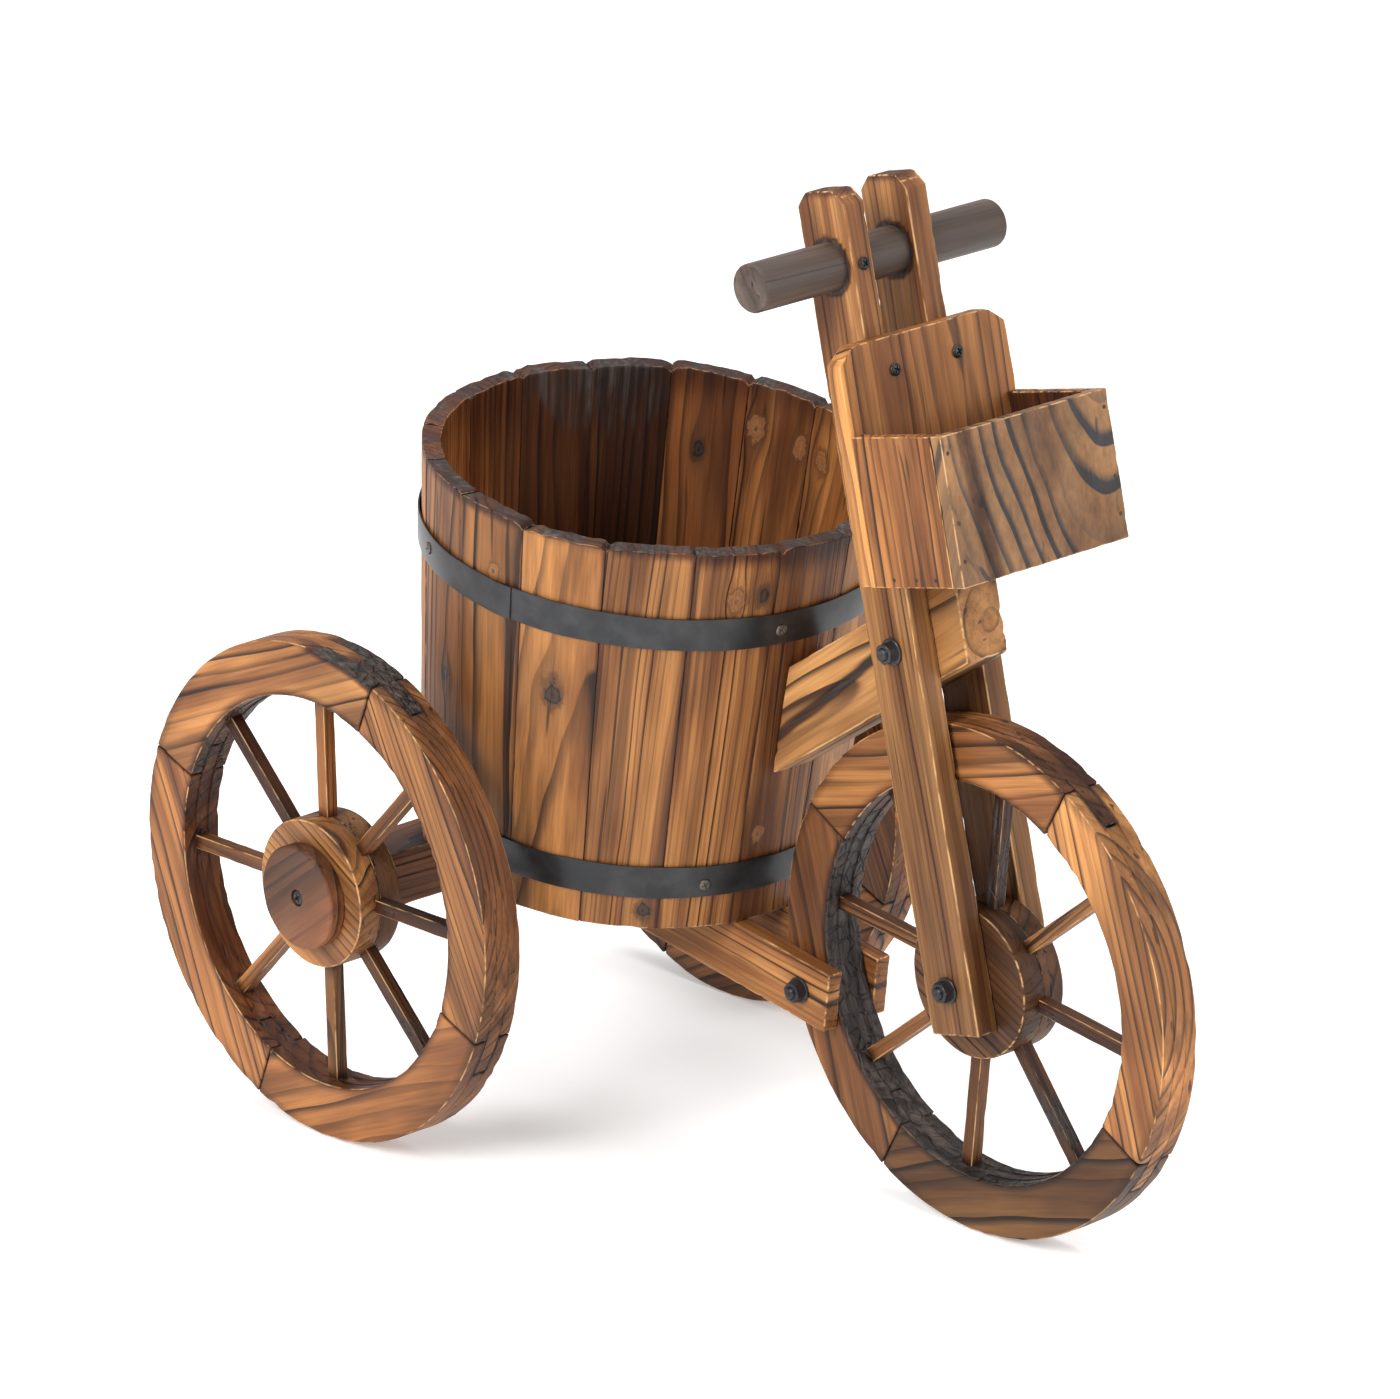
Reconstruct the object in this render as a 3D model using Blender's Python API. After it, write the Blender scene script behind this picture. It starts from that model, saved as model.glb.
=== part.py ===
"""Wooden tricycle planter: a stave barrel on two rails between a pair of spoked rear wheels,
with a bolted fork, handlebar, front planter box and a spoked front wheel that carries the rails.

Metres, +Z up, ground at z = 0. The tricycle faces -Y, so its right-hand side is -X.
The origin is on the ground, halfway between the axles, on the centre line.
"""
import bpy
import bmesh
from math import atan2, cos, pi, radians, sin, sqrt
from mathutils import Matrix, Vector

MM = 0.001
GAP = 0.3 * MM                      # space between pieces that rest against each other

# Wheels
WHEELBASE = 340 * MM
TRACK = 290 * MM                    # between the middle planes of the rear wheels
WHEEL_RADIUS = 135 * MM
RIM_DEPTH = 29.5 * MM               # radial depth of a felloe
RIM_WIDTH = 24 * MM
FELLOE_COUNT = 4
FELLOE_STEPS = 12                   # facets along one felloe
TONGUE_WIDTH = 8 * MM               # bridle joint between two felloes
TONGUE_LENGTH = 22 * MM
HUB_RADIUS = 40 * MM
HUB_WIDTH = 28 * MM
SPOKE_COUNT = 8
SPOKE_SIZE = 7.5 * MM
SPOKE_TENON = 9 * MM                # length of a spoke inside its felloe
FRONT_WHEEL_TURN = radians(7.5)     # the fixed front wheel's spokes stand this far off upright
CAP_RADIUS = 28 * MM
CAP_WIDTH = 9 * MM
HUB_SCREW_RADIUS = 2.5 * MM
HUB_SCREW_HEAD_RADIUS = 4.4 * MM
HUB_SCREW_HEAD_DEPTH = 2 * MM
HUB_SCREW_GRIP = 32 * MM            # length of the screw inside the axle beam
AXLE_PLAY = 0.5 * MM                # space between a rear hub and the end of the axle beam

# Frame
AXLE_BEAM_DEPTH = 34 * MM
AXLE_BEAM_HEIGHT = 30 * MM
RAIL_WIDTH = 9.5 * MM
RAIL_HEIGHT = 33 * MM
RAIL_NOSE = 20 * MM                 # rail in front of its bolt
FORK_GAP = 29 * MM                  # between the two legs
FORK_LEAN = radians(12)
LEG_WIDTH = 34 * MM
LEG_THICKNESS = 14 * MM
LEG_FOOT = 24 * MM                  # leg below the front axle
LEG_OVER_BACKBOARD = 74.5 * MM
LEG_CLIP = 8 * MM                   # clipped corners at the top of a leg
BEAM_HEIGHT = 44 * MM
BEAM_PITCH = radians(32.7)
BEAM_OVER_TYRE = 6.2 * MM
BEAM_NOSE = 21 * MM                 # beam in front of the fork legs
HANDLE_RADIUS = 12.5 * MM
HANDLE_LENGTH = 166 * MM
HANDLE_FROM_TOP = 38 * MM
HANDLE_PLAY = 0.5 * MM
HANDLE_BEVEL = 1.5 * MM

# Barrel, on the deck that the top edges of the rails make
DECK_TILT = radians(9)
DECK_OVER_AXLE = 9.5 * MM
BARREL_AHEAD = 70.5 * MM            # middle of the barrel's base, in front of the rear axle
BARREL_HEIGHT = 220 * MM
BARREL_TOP_RADIUS = 125 * MM
BARREL_BASE_RADIUS = 109.5 * MM
STAVE_THICKNESS = 11 * MM
STAVE_COUNT = 17
STAVE_STEPS = 4                     # facets across one stave
STAVE_TURN = radians(2.8)
FLOOR_LIFT = 10 * MM                # underside of the barrel floor above the deck
FLOOR_THICKNESS = 12 * MM
DRAIN_RADIUS = 6 * MM
HOOP_HEIGHT = 18 * MM
HOOP_THICKNESS = 1.2 * MM
UPPER_HOOP_LIFT = 164 * MM
LOWER_HOOP_LIFT = 19 * MM

# Front planter box
BOX_WIDTH = 115 * MM
BOX_HEIGHT = 76 * MM
BOX_DEPTH = 64.5 * MM               # from the backboard's front to the front panel's front
BOX_OVER_BEAM = 1.5 * MM
PANEL_THICKNESS = 7.5 * MM
BACKBOARD_THICKNESS = 10 * MM
BACKBOARD_HEIGHT = 119.5 * MM
BACKBOARD_CLIP_WIDTH = 12 * MM
BACKBOARD_CLIP_HEIGHT = 9 * MM
BOX_SCREW_FROM_TOP = 17 * MM

# Bolts, nuts and screws
BOLT_RADIUS = 3 * MM
BOLT_HEX = 10 * MM                  # across flats
BOLT_HEAD_DEPTH = 4 * MM
NUT_DEPTH = 5 * MM
FLANGE_RADIUS = 6.9 * MM
FLANGE_DEPTH = 1.3 * MM
BOLT_STICK_OUT = 1.5 * MM           # bolt beyond its nut
SCREW_RADIUS = 1.7 * MM
SCREW_HEAD_RADIUS = 3.4 * MM
SCREW_HEAD_DEPTH = 1.8 * MM
SCREW_GRIP = 20 * MM

ROUND_STEPS = 48
HOLE_STEPS = 20

# Sizes that follow from the ones above
RIM_INNER = WHEEL_RADIUS - RIM_DEPTH
REAR_AXLE = Vector((0, WHEELBASE / 2, WHEEL_RADIUS))
FRONT_AXLE = Vector((0, -WHEELBASE / 2, WHEEL_RADIUS))
DECK_CENTRE = REAR_AXLE + Vector((0, -BARREL_AHEAD, DECK_OVER_AXLE))
BEAM_FROM_FORK = BEAM_PITCH - FORK_LEAN
BEAM_BOLT_UP = (WHEEL_RADIUS + BEAM_OVER_TYRE + BEAM_HEIGHT / 2) / cos(BEAM_FROM_FORK)
BEAM_TIP = LEG_WIDTH / 2 + BEAM_NOSE
BEAM_TIP_TOP = (WHEEL_RADIUS + BEAM_OVER_TYRE + BEAM_HEIGHT + BEAM_TIP * sin(BEAM_FROM_FORK)) / cos(
    BEAM_FROM_FORK)
BOX_BOTTOM = BEAM_TIP_TOP + BOX_OVER_BEAM
BACKBOARD_TOP = BOX_BOTTOM + BACKBOARD_HEIGHT
LEG_TOP = BACKBOARD_TOP + LEG_OVER_BACKBOARD
HANDLE_UP = LEG_TOP - HANDLE_FROM_TOP
LEG_MIDDLE = (FORK_GAP + LEG_THICKNESS) / 2
BARREL_STEPS = STAVE_COUNT * STAVE_STEPS

FIR = (0.50, 0.24, 0.085)
PALE_FIR = (0.62, 0.34, 0.13)
BURNT_FIR = (0.13, 0.065, 0.032)
DOWEL = (0.10, 0.075, 0.062)
STRAP_STEEL = (0.045, 0.048, 0.052)
BLACK_STEEL = (0.02, 0.02, 0.022)


def clear_scene():
    for thing in list(bpy.data.objects):
        bpy.data.objects.remove(thing)


def make_material(name, colour, roughness, metallic):
    material = bpy.data.materials.new(name)
    material.use_nodes = True
    shader = material.node_tree.nodes["Principled BSDF"]
    shader.inputs["Base Color"].default_value = (*colour, 1)
    shader.inputs["Roughness"].default_value = roughness
    shader.inputs["Metallic"].default_value = metallic
    return material


def wood(name, colour=FIR):
    return make_material(name, colour, 0.6, 0.0)


def metal(name, colour=BLACK_STEEL):
    return make_material(name, colour, 0.45, 0.8)


def make_frame(name, place, turn):
    """An empty that carries the pieces of a leaning sub-assembly; turn is about X."""
    empty = bpy.data.objects.new(name, None)
    bpy.context.collection.objects.link(empty)
    empty.location = place
    empty.rotation_euler.x = turn
    return empty


def add_object(name, mesh, material=None, parent=None, place=(0, 0, 0)):
    thing = bpy.data.objects.new(name, mesh)
    bpy.context.collection.objects.link(thing)
    thing.location = place
    thing.parent = parent
    if material is not None:
        mesh.materials.clear()
        mesh.materials.append(material)
    return thing


def finish_mesh(bm, name, smooth_angle=None):
    bmesh.ops.recalc_face_normals(bm, faces=bm.faces)
    mesh = bpy.data.meshes.new(name)
    bm.to_mesh(mesh)
    bm.free()
    if smooth_angle is not None:
        mesh.shade_smooth()
        mesh.set_sharp_from_angle(angle=smooth_angle)
    return mesh


def block_mesh(name, low, high):
    """A rectangular block between two opposite corners."""
    low, high = Vector(low), Vector(high)
    bm = bmesh.new()
    bmesh.ops.create_cube(bm, size=1)
    bmesh.ops.scale(bm, verts=bm.verts, vec=high - low)
    bmesh.ops.translate(bm, verts=bm.verts, vec=(low + high) / 2)
    return finish_mesh(bm, name)


def plate_mesh(name, outline, low, high, axis="X"):
    """A flat piece: an outline of (y, z) points pushed along X, or of (x, z) points along Y."""
    bm = bmesh.new()
    if axis == "X":
        corners = [bm.verts.new((low, y, z)) for y, z in outline]
        push = Vector((high - low, 0, 0))
    else:
        corners = [bm.verts.new((x, low, z)) for x, z in outline]
        push = Vector((0, high - low, 0))
    face = bm.faces.new(corners)
    pushed = bmesh.ops.extrude_face_region(bm, geom=[face])["geom"]
    moved = [item for item in pushed if isinstance(item, bmesh.types.BMVert)]
    bmesh.ops.translate(bm, verts=moved, vec=push)
    return finish_mesh(bm, name)


def turned_mesh(name, profile, steps, axis="Z", turn=0.0):
    """A solid turned about an axis: profile lists (radius, height) from one end to the other.
    A radius of zero closes an end, and a profile that returns to its start makes a ring."""
    closed = profile[0] == profile[-1]
    rows = profile[:-1] if closed else profile
    bm = bmesh.new()
    rings = []
    for radius, height in rows:
        if radius == 0:
            rings.append([bm.verts.new((0, 0, height))] * steps)
            continue
        angles = [turn + 2 * pi * step / steps for step in range(steps)]
        rings.append([bm.verts.new((radius * cos(a), radius * sin(a), height)) for a in angles])
    pairs = list(zip(rings, rings[1:]))
    if closed:
        pairs.append((rings[-1], rings[0]))
    for lower, upper in pairs:
        for step in range(steps):
            after = (step + 1) % steps
            loop = [lower[step], lower[after], upper[after], upper[step]]
            bm.faces.new(list(dict.fromkeys(loop)))
    if axis == "X":
        bmesh.ops.rotate(bm, verts=bm.verts, matrix=Matrix.Rotation(pi / 2, 3, "Y"))
    if axis == "Y":
        bmesh.ops.rotate(bm, verts=bm.verts, matrix=Matrix.Rotation(pi / 2, 3, "X"))
    return finish_mesh(bm, name, radians(35))


def rod_profile(radius, low, high):
    return [(0, low), (radius, low), (radius, high), (0, high)]


def cells_mesh(name, solid, angles, radii, layers):
    """A solid made of the cells of a polar grid about X: solid(angle_index, layer_index) says
    which cells are filled. Faces are made only between a filled cell and an empty one."""
    bm = bmesh.new()
    corners = {}

    def corner(angle, radius, layer):
        key = (angle, radius, layer)
        if key not in corners:
            turn, reach = angles[angle], radii[radius]
            corners[key] = bm.verts.new((layers[layer], reach * cos(turn), reach * sin(turn)))
        return corners[key]

    def filled(angle, layer):
        inside = 0 <= angle < len(angles) - 1 and 0 <= layer < len(layers) - 1
        return inside and solid(angle, layer)

    for a in range(len(angles) - 1):
        for x in range(len(layers) - 1):
            if not filled(a, x):
                continue
            for r in (0, 1):
                bm.faces.new([corner(a, r, x), corner(a + 1, r, x),
                              corner(a + 1, r, x + 1), corner(a, r, x + 1)])
            for near, step in ((a, a - 1), (a + 1, a + 1)):
                if not filled(step, x):
                    bm.faces.new([corner(near, 0, x), corner(near, 1, x),
                                  corner(near, 1, x + 1), corner(near, 0, x + 1)])
            for near, step in ((x, x - 1), (x + 1, x + 1)):
                if not filled(a, step):
                    bm.faces.new([corner(a, 0, near), corner(a, 1, near),
                                  corner(a + 1, 1, near), corner(a + 1, 0, near)])
    bmesh.ops.recalc_face_normals(bm, faces=bm.faces)
    bmesh.ops.dissolve_limit(bm, angle_limit=radians(0.5), verts=bm.verts, edges=bm.edges)
    return finish_mesh(bm, name)


def add_boolean(thing, tool, operation="DIFFERENCE"):
    """Cuts a tool out of a piece, or joins it on; the tool itself stays out of the model."""
    tool.hide_render = True
    tool.display_type = "WIRE"
    modifier = thing.modifiers.new(operation.title(), "BOOLEAN")
    modifier.operation = operation
    modifier.solver = "EXACT"
    modifier.object = tool


def add_hole(thing, radius, place, length, axis="X", parent=None):
    """Drills a round hole whose middle is at a place in the parent's frame."""
    mesh = turned_mesh("hole", rod_profile(radius, -length / 2, length / 2), HOLE_STEPS, axis)
    add_boolean(thing, add_object(f"{thing.name}_hole", mesh, None, parent, place))


def barrel_radius(height):
    """Outer radius of the staves at a height above the deck."""
    return BARREL_BASE_RADIUS + (BARREL_TOP_RADIUS - BARREL_BASE_RADIUS) * height / BARREL_HEIGHT


def deck_point(place):
    """A point of the world in the frame of the tilted deck."""
    return Matrix.Rotation(-DECK_TILT, 3, "X") @ (Vector(place) - DECK_CENTRE)


def felloe_mesh():
    """A quarter of a rim: a slot at its start takes the tongue at the end of the one before."""
    sector = 2 * pi / FELLOE_COUNT
    step = sector / FELLOE_STEPS
    middle = (WHEEL_RADIUS + RIM_INNER) / 2
    reach = TONGUE_LENGTH / middle
    seam = GAP / RIM_INNER
    ends = {seam, reach + seam, sector, sector + reach}
    start = pi / SPOKE_COUNT
    angles = sorted(ends | {n * step for n in range(1, FELLOE_STEPS + 1 + int(reach / step))})
    tongue, slot, side = TONGUE_WIDTH / 2, TONGUE_WIDTH / 2 + GAP, RIM_WIDTH / 2
    layers = [-side, -slot, -tongue, tongue, slot, side]
    middle_layer = 2

    def solid(angle, layer):
        if angles[angle] < reach + seam:
            return layer in (0, 4)
        if angles[angle] >= sector:
            return layer == middle_layer
        return True

    turned = [start + angle for angle in angles]
    return cells_mesh("felloe", solid, turned, (RIM_INNER, WHEEL_RADIUS), layers)


def make_wheel(name, place, turn, bore, drilled=None):
    """A spoked wheel on an X axle: four felloes, and a hub with its eight spokes glued in.
    drilled is the place of a bolt hole across the rim, for a wheel that has one."""
    axle = make_frame(f"{name}_axle", place, turn)
    mesh = felloe_mesh()
    mortise = SPOKE_SIZE / 2 + GAP
    socket = block_mesh("mortise", (-mortise, RIM_INNER - SPOKE_TENON, -mortise),
                        (mortise, RIM_INNER + SPOKE_TENON + GAP, mortise))
    sockets = []
    for number in range(SPOKE_COUNT):
        cutter = add_object(f"{name}_mortise_{number + 1}", socket, None, axle)
        cutter.rotation_euler.x = 2 * pi * number / SPOKE_COUNT
        sockets.append(cutter)
    per_felloe = SPOKE_COUNT // FELLOE_COUNT
    for number in range(FELLOE_COUNT):
        part_name = f"{name}_felloe_{number + 1}"
        felloe = add_object(part_name, mesh.copy(), wood(part_name), axle)
        felloe.rotation_euler.x = 2 * pi * number / FELLOE_COUNT
        for spoke in range(per_felloe):
            add_boolean(felloe, sockets[(1 + per_felloe * number + spoke) % SPOKE_COUNT])
        if drilled is not None:
            bearing = (atan2(drilled.z - place.z, drilled.y - place.y) - turn - pi / SPOKE_COUNT) % (2 * pi)
            if int(bearing / (2 * pi / FELLOE_COUNT)) == number:
                add_hole(felloe, BOLT_RADIUS + GAP, drilled, 2 * RIM_WIDTH)
    hub = add_object(f"{name}_hub_with_spokes", hub_mesh(bore), wood(f"{name}_hub_with_spokes"), axle)
    inner_end, outer_end = HUB_RADIUS / 2, RIM_INNER + SPOKE_TENON
    half = SPOKE_SIZE / 2
    spoke_mesh = block_mesh("spoke", (-half, inner_end, -half), (half, outer_end, half))
    for number in range(SPOKE_COUNT):
        spoke = add_object(f"{name}_spoke_{number + 1}", spoke_mesh, None, axle)
        spoke.rotation_euler.x = 2 * pi * number / SPOKE_COUNT
        add_boolean(hub, spoke, "UNION")
    return axle


def hub_mesh(bore):
    """A round hub with rounded-over rims, bored through."""
    half, ease = HUB_WIDTH / 2, 1.2 * MM
    profile = [(bore, -half), (HUB_RADIUS - ease, -half), (HUB_RADIUS, ease - half),
               (HUB_RADIUS, half - ease), (HUB_RADIUS - ease, half), (bore, half), (bore, -half)]
    return turned_mesh("hub", profile, ROUND_STEPS, "X")


def make_hub_cap(name, axle, side):
    """The burnt disc on the outside of a rear hub, sunk for the screw's head."""
    inner = HUB_WIDTH / 2 + GAP
    outer = inner + CAP_WIDTH
    bore = HUB_SCREW_RADIUS + GAP
    sink = HUB_SCREW_HEAD_RADIUS + GAP
    seat = outer - HUB_SCREW_HEAD_DEPTH - GAP
    profile = [(bore, inner), (CAP_RADIUS, inner), (CAP_RADIUS, outer), (sink, outer), (sink, seat),
               (bore, seat), (bore, inner)]
    mesh = turned_mesh(name, [(r, side * x) for r, x in profile], ROUND_STEPS, "X")
    add_object(name, mesh, wood(name, BURNT_FIR), axle)


def screw_mesh(name, shank, grip, head, head_depth, axis, side=1):
    """A screw whose head starts at zero. The head stands out along +X for axis "X" and along -Y
    for axis "Y", or the other way for side -1."""
    profile = [(0, -grip), (shank, -grip + shank), (shank, 0), (head, 0), (head, head_depth * 0.45),
               (head * 0.72, head_depth), (0, head_depth)]
    return turned_mesh(name, [(r, side * x) for r, x in profile], HOLE_STEPS, axis)


def make_bolt(name, frame, place, grip_half):
    """A bolt along X with a flanged hexagon head at +X and a flanged nut at -X."""
    seat = grip_half + GAP
    head = seat + FLANGE_DEPTH
    tip = head + NUT_DEPTH + BOLT_STICK_OUT
    bolt = add_object(f"{name}_bolt", turned_mesh(name, [
        (0, -tip), (BOLT_RADIUS - 0.5 * MM, -tip), (BOLT_RADIUS, 0.5 * MM - tip), (BOLT_RADIUS, seat),
        (FLANGE_RADIUS, seat), (FLANGE_RADIUS, head), (0, head)], HOLE_STEPS, "X"),
        metal(f"{name}_bolt"), frame, place)
    corner = BOLT_HEX / sqrt(3)
    hexagon = turned_mesh("hexagon", rod_profile(corner, head - MM, head + BOLT_HEAD_DEPTH), 6, "X")
    add_boolean(bolt, add_object(f"{name}_bolt_hexagon", hexagon, None, frame, place), "UNION")
    flange = turned_mesh(f"{name}_nut", rod_profile(FLANGE_RADIUS, -head, -seat), HOLE_STEPS, "X")
    nut = add_object(f"{name}_nut", flange, metal(f"{name}_nut"), frame, place)
    hexagon = turned_mesh("hexagon", rod_profile(corner, -head - NUT_DEPTH, MM / 2 - head), 6, "X")
    add_boolean(nut, add_object(f"{name}_nut_hexagon", hexagon, None, frame, place), "UNION")
    add_hole(nut, BOLT_RADIUS + GAP, place, 4 * seat, "X", frame)


def make_frame_timber(rail_bolt):
    """The axle beam across the back, and the two rails from it to the front wheel's rim."""
    half = TRACK / 2 - HUB_WIDTH / 2 - AXLE_PLAY
    corner = Vector((half, AXLE_BEAM_DEPTH / 2, AXLE_BEAM_HEIGHT / 2))
    beam = add_object("axle_beam", block_mesh("axle_beam", REAR_AXLE - corner, REAR_AXLE + corner),
                      wood("axle_beam", BURNT_FIR))
    for side in (-1, 1):
        screw_end = REAR_AXLE + Vector((side * half, 0, 0))
        add_hole(beam, HUB_SCREW_RADIUS + GAP, screw_end, 2 * (HUB_SCREW_GRIP + 2 * GAP))
    butt = REAR_AXLE.y - AXLE_BEAM_DEPTH / 2 - GAP
    nose = rail_bolt.y - RAIL_NOSE
    inner = RIM_WIDTH / 2 + GAP
    for name, side in (("rail_right", -1), ("rail_left", 1)):
        outline = []
        for height in (-GAP - RAIL_HEIGHT, -GAP):
            outline.append(((butt - DECK_CENTRE.y + height * sin(DECK_TILT)) / cos(DECK_TILT), height))
        outline += [(nose, -GAP), (nose, -GAP - RAIL_HEIGHT)]
        low, high = sorted((side * inner, side * (inner + RAIL_WIDTH)))
        rail = add_object(name, plate_mesh(name, outline, low, high), wood(name, PALE_FIR), deck)
        add_hole(rail, BOLT_RADIUS + GAP, rail_bolt, 6 * RAIL_WIDTH + 2 * RIM_WIDTH, "X", deck)


def make_fork():
    """Two clipped legs, the handlebar through their tops, and the screw that pins it."""
    half = LEG_WIDTH / 2
    outline = [(-half, -LEG_FOOT), (half, -LEG_FOOT), (half, LEG_TOP - LEG_CLIP), (half - LEG_CLIP, LEG_TOP),
               (LEG_CLIP - half, LEG_TOP), (-half, LEG_TOP - LEG_CLIP)]
    reach = FORK_GAP + 4 * LEG_THICKNESS
    legs = {}
    for name, side in (("fork_leg_right", -1), ("fork_leg_left", 1)):
        low, high = sorted((side * FORK_GAP / 2, side * (FORK_GAP / 2 + LEG_THICKNESS)))
        leg = add_object(name, plate_mesh(name, outline, low, high), wood(name, PALE_FIR), fork)
        add_hole(leg, BOLT_RADIUS + GAP, (0, 0, 0), reach, "X", fork)
        add_hole(leg, BOLT_RADIUS + GAP, (0, 0, BEAM_BOLT_UP), reach, "X", fork)
        add_hole(leg, HANDLE_RADIUS + HANDLE_PLAY, (0, 0, HANDLE_UP), reach, "X", fork)
        screw_place = (side * LEG_MIDDLE, -half, BACKBOARD_TOP - BOX_SCREW_FROM_TOP)
        add_hole(leg, SCREW_RADIUS + GAP, screw_place, 2 * SCREW_GRIP, "Y", fork)
        legs[side] = leg
    end, ease = HANDLE_LENGTH / 2, HANDLE_BEVEL
    bar_profile = [(0, -end), (HANDLE_RADIUS - ease, -end), (HANDLE_RADIUS, ease - end),
                   (HANDLE_RADIUS, end - ease), (HANDLE_RADIUS - ease, end), (0, end)]
    bar = add_object("handlebar", turned_mesh("handlebar", bar_profile, ROUND_STEPS, "X"),
                     wood("handlebar", DOWEL), fork, (0, 0, HANDLE_UP))
    pin_place = (-LEG_MIDDLE, -half - GAP, HANDLE_UP)
    for thing in (legs[-1], bar):
        add_hole(thing, SCREW_RADIUS + GAP, pin_place, 2 * SCREW_GRIP, "Y", fork)
    pin = screw_mesh("handlebar_screw", SCREW_RADIUS, SCREW_GRIP - MM, SCREW_HEAD_RADIUS,
                     SCREW_HEAD_DEPTH, "Y")
    add_object("handlebar_screw", pin, metal("handlebar_screw"), fork, pin_place)


def barrel_tool():
    """The space that the staves and hoops fill, with a gap all round."""
    over = HOOP_THICKNESS + 2 * GAP
    profile = [(0, -GAP), (barrel_radius(0) + GAP, -GAP)]
    for lift in (LOWER_HOOP_LIFT, UPPER_HOOP_LIFT):
        low, high = lift - GAP, lift + HOOP_HEIGHT + GAP
        profile += [(barrel_radius(low) + GAP, low), (barrel_radius(low) + over, low)]
        profile += [(barrel_radius(high) + over, high), (barrel_radius(high) + GAP, high)]
    profile += [(barrel_radius(BARREL_HEIGHT) + GAP, BARREL_HEIGHT), (0, BARREL_HEIGHT)]
    mesh = turned_mesh("barrel_space", profile, BARREL_STEPS, "Z", STAVE_TURN)
    return add_object("barrel_space", mesh, None, deck)


def make_main_beam():
    """The sloping beam from the barrel's front, between the fork legs, to its nose under the box."""
    half_width = FORK_GAP / 2 - GAP
    half = BEAM_HEIGHT / 2
    slope = make_frame("main_beam_slope", fork.matrix_basis @ Vector((0, 0, BEAM_BOLT_UP)), -BEAM_PITCH)
    back = WHEELBASE / 2
    lean = BEAM_FROM_FORK
    tip = [((BEAM_TIP + height * sin(lean)) / cos(lean), height) for height in (half, -half)]
    outline = [(back, -half), (back, half)] + [(-reach, height) for reach, height in tip]
    beam = add_object("main_beam", plate_mesh("main_beam", outline, -half_width, half_width),
                      wood("main_beam", PALE_FIR), slope)
    add_boolean(beam, barrel_tool())
    add_hole(beam, BOLT_RADIUS + GAP, (0, 0, 0), 4 * FORK_GAP, "X", slope)


def make_barrel():
    """Tapered staves side by side, a floor with a drain hole, and two steel hoops."""
    sector = 2 * pi / STAVE_COUNT
    for number in range(STAVE_COUNT):
        name = f"stave_{number + 1:02d}"
        stave = add_object(name, stave_mesh(name, sector), wood(name), deck)
        stave.rotation_euler.z = STAVE_TURN + sector * number
    low, high = FLOOR_LIFT, FLOOR_LIFT + FLOOR_THICKNESS
    slack = STAVE_THICKNESS + GAP
    profile = [(DRAIN_RADIUS, low), (barrel_radius(low) - slack, low), (barrel_radius(high) - slack, high),
               (DRAIN_RADIUS, high), (DRAIN_RADIUS, low)]
    floor = turned_mesh("barrel_floor", profile, BARREL_STEPS, "Z", STAVE_TURN)
    add_object("barrel_floor", floor, wood("barrel_floor", BURNT_FIR), deck)
    for name, lift in (("hoop_lower", LOWER_HOOP_LIFT), ("hoop_upper", UPPER_HOOP_LIFT)):
        low, high = lift, lift + HOOP_HEIGHT
        over = GAP + HOOP_THICKNESS
        profile = [(barrel_radius(low) + GAP, low), (barrel_radius(low) + over, low),
                   (barrel_radius(high) + over, high), (barrel_radius(high) + GAP, high),
                   (barrel_radius(low) + GAP, low)]
        hoop = turned_mesh(name, profile, BARREL_STEPS, "Z", STAVE_TURN)
        add_object(name, hoop, metal(name, STRAP_STEEL), deck)


def stave_mesh(name, sector):
    """One stave: a tapered, slightly curved board with radial sides."""
    bm = bmesh.new()
    rows = []
    for height in (0, BARREL_HEIGHT):
        outer = barrel_radius(height)
        inner = outer - STAVE_THICKNESS
        for radius in (inner, outer):
            trim = GAP / 2 / radius
            angles = [sector * step / STAVE_STEPS for step in range(STAVE_STEPS + 1)]
            angles[0] += trim
            angles[-1] -= trim
            rows.append([bm.verts.new((radius * cos(a), radius * sin(a), height)) for a in angles])
    inner_low, outer_low, inner_high, outer_high = rows
    for step in range(STAVE_STEPS):
        after = step + 1
        for one, two in ((outer_low, outer_high), (inner_low, inner_high), (inner_low, outer_low),
                         (inner_high, outer_high)):
            bm.faces.new([one[step], one[after], two[after], two[step]])
    for end in (0, -1):
        bm.faces.new([inner_low[end], outer_low[end], outer_high[end], inner_high[end]])
    return finish_mesh(bm, name, radians(20))


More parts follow.
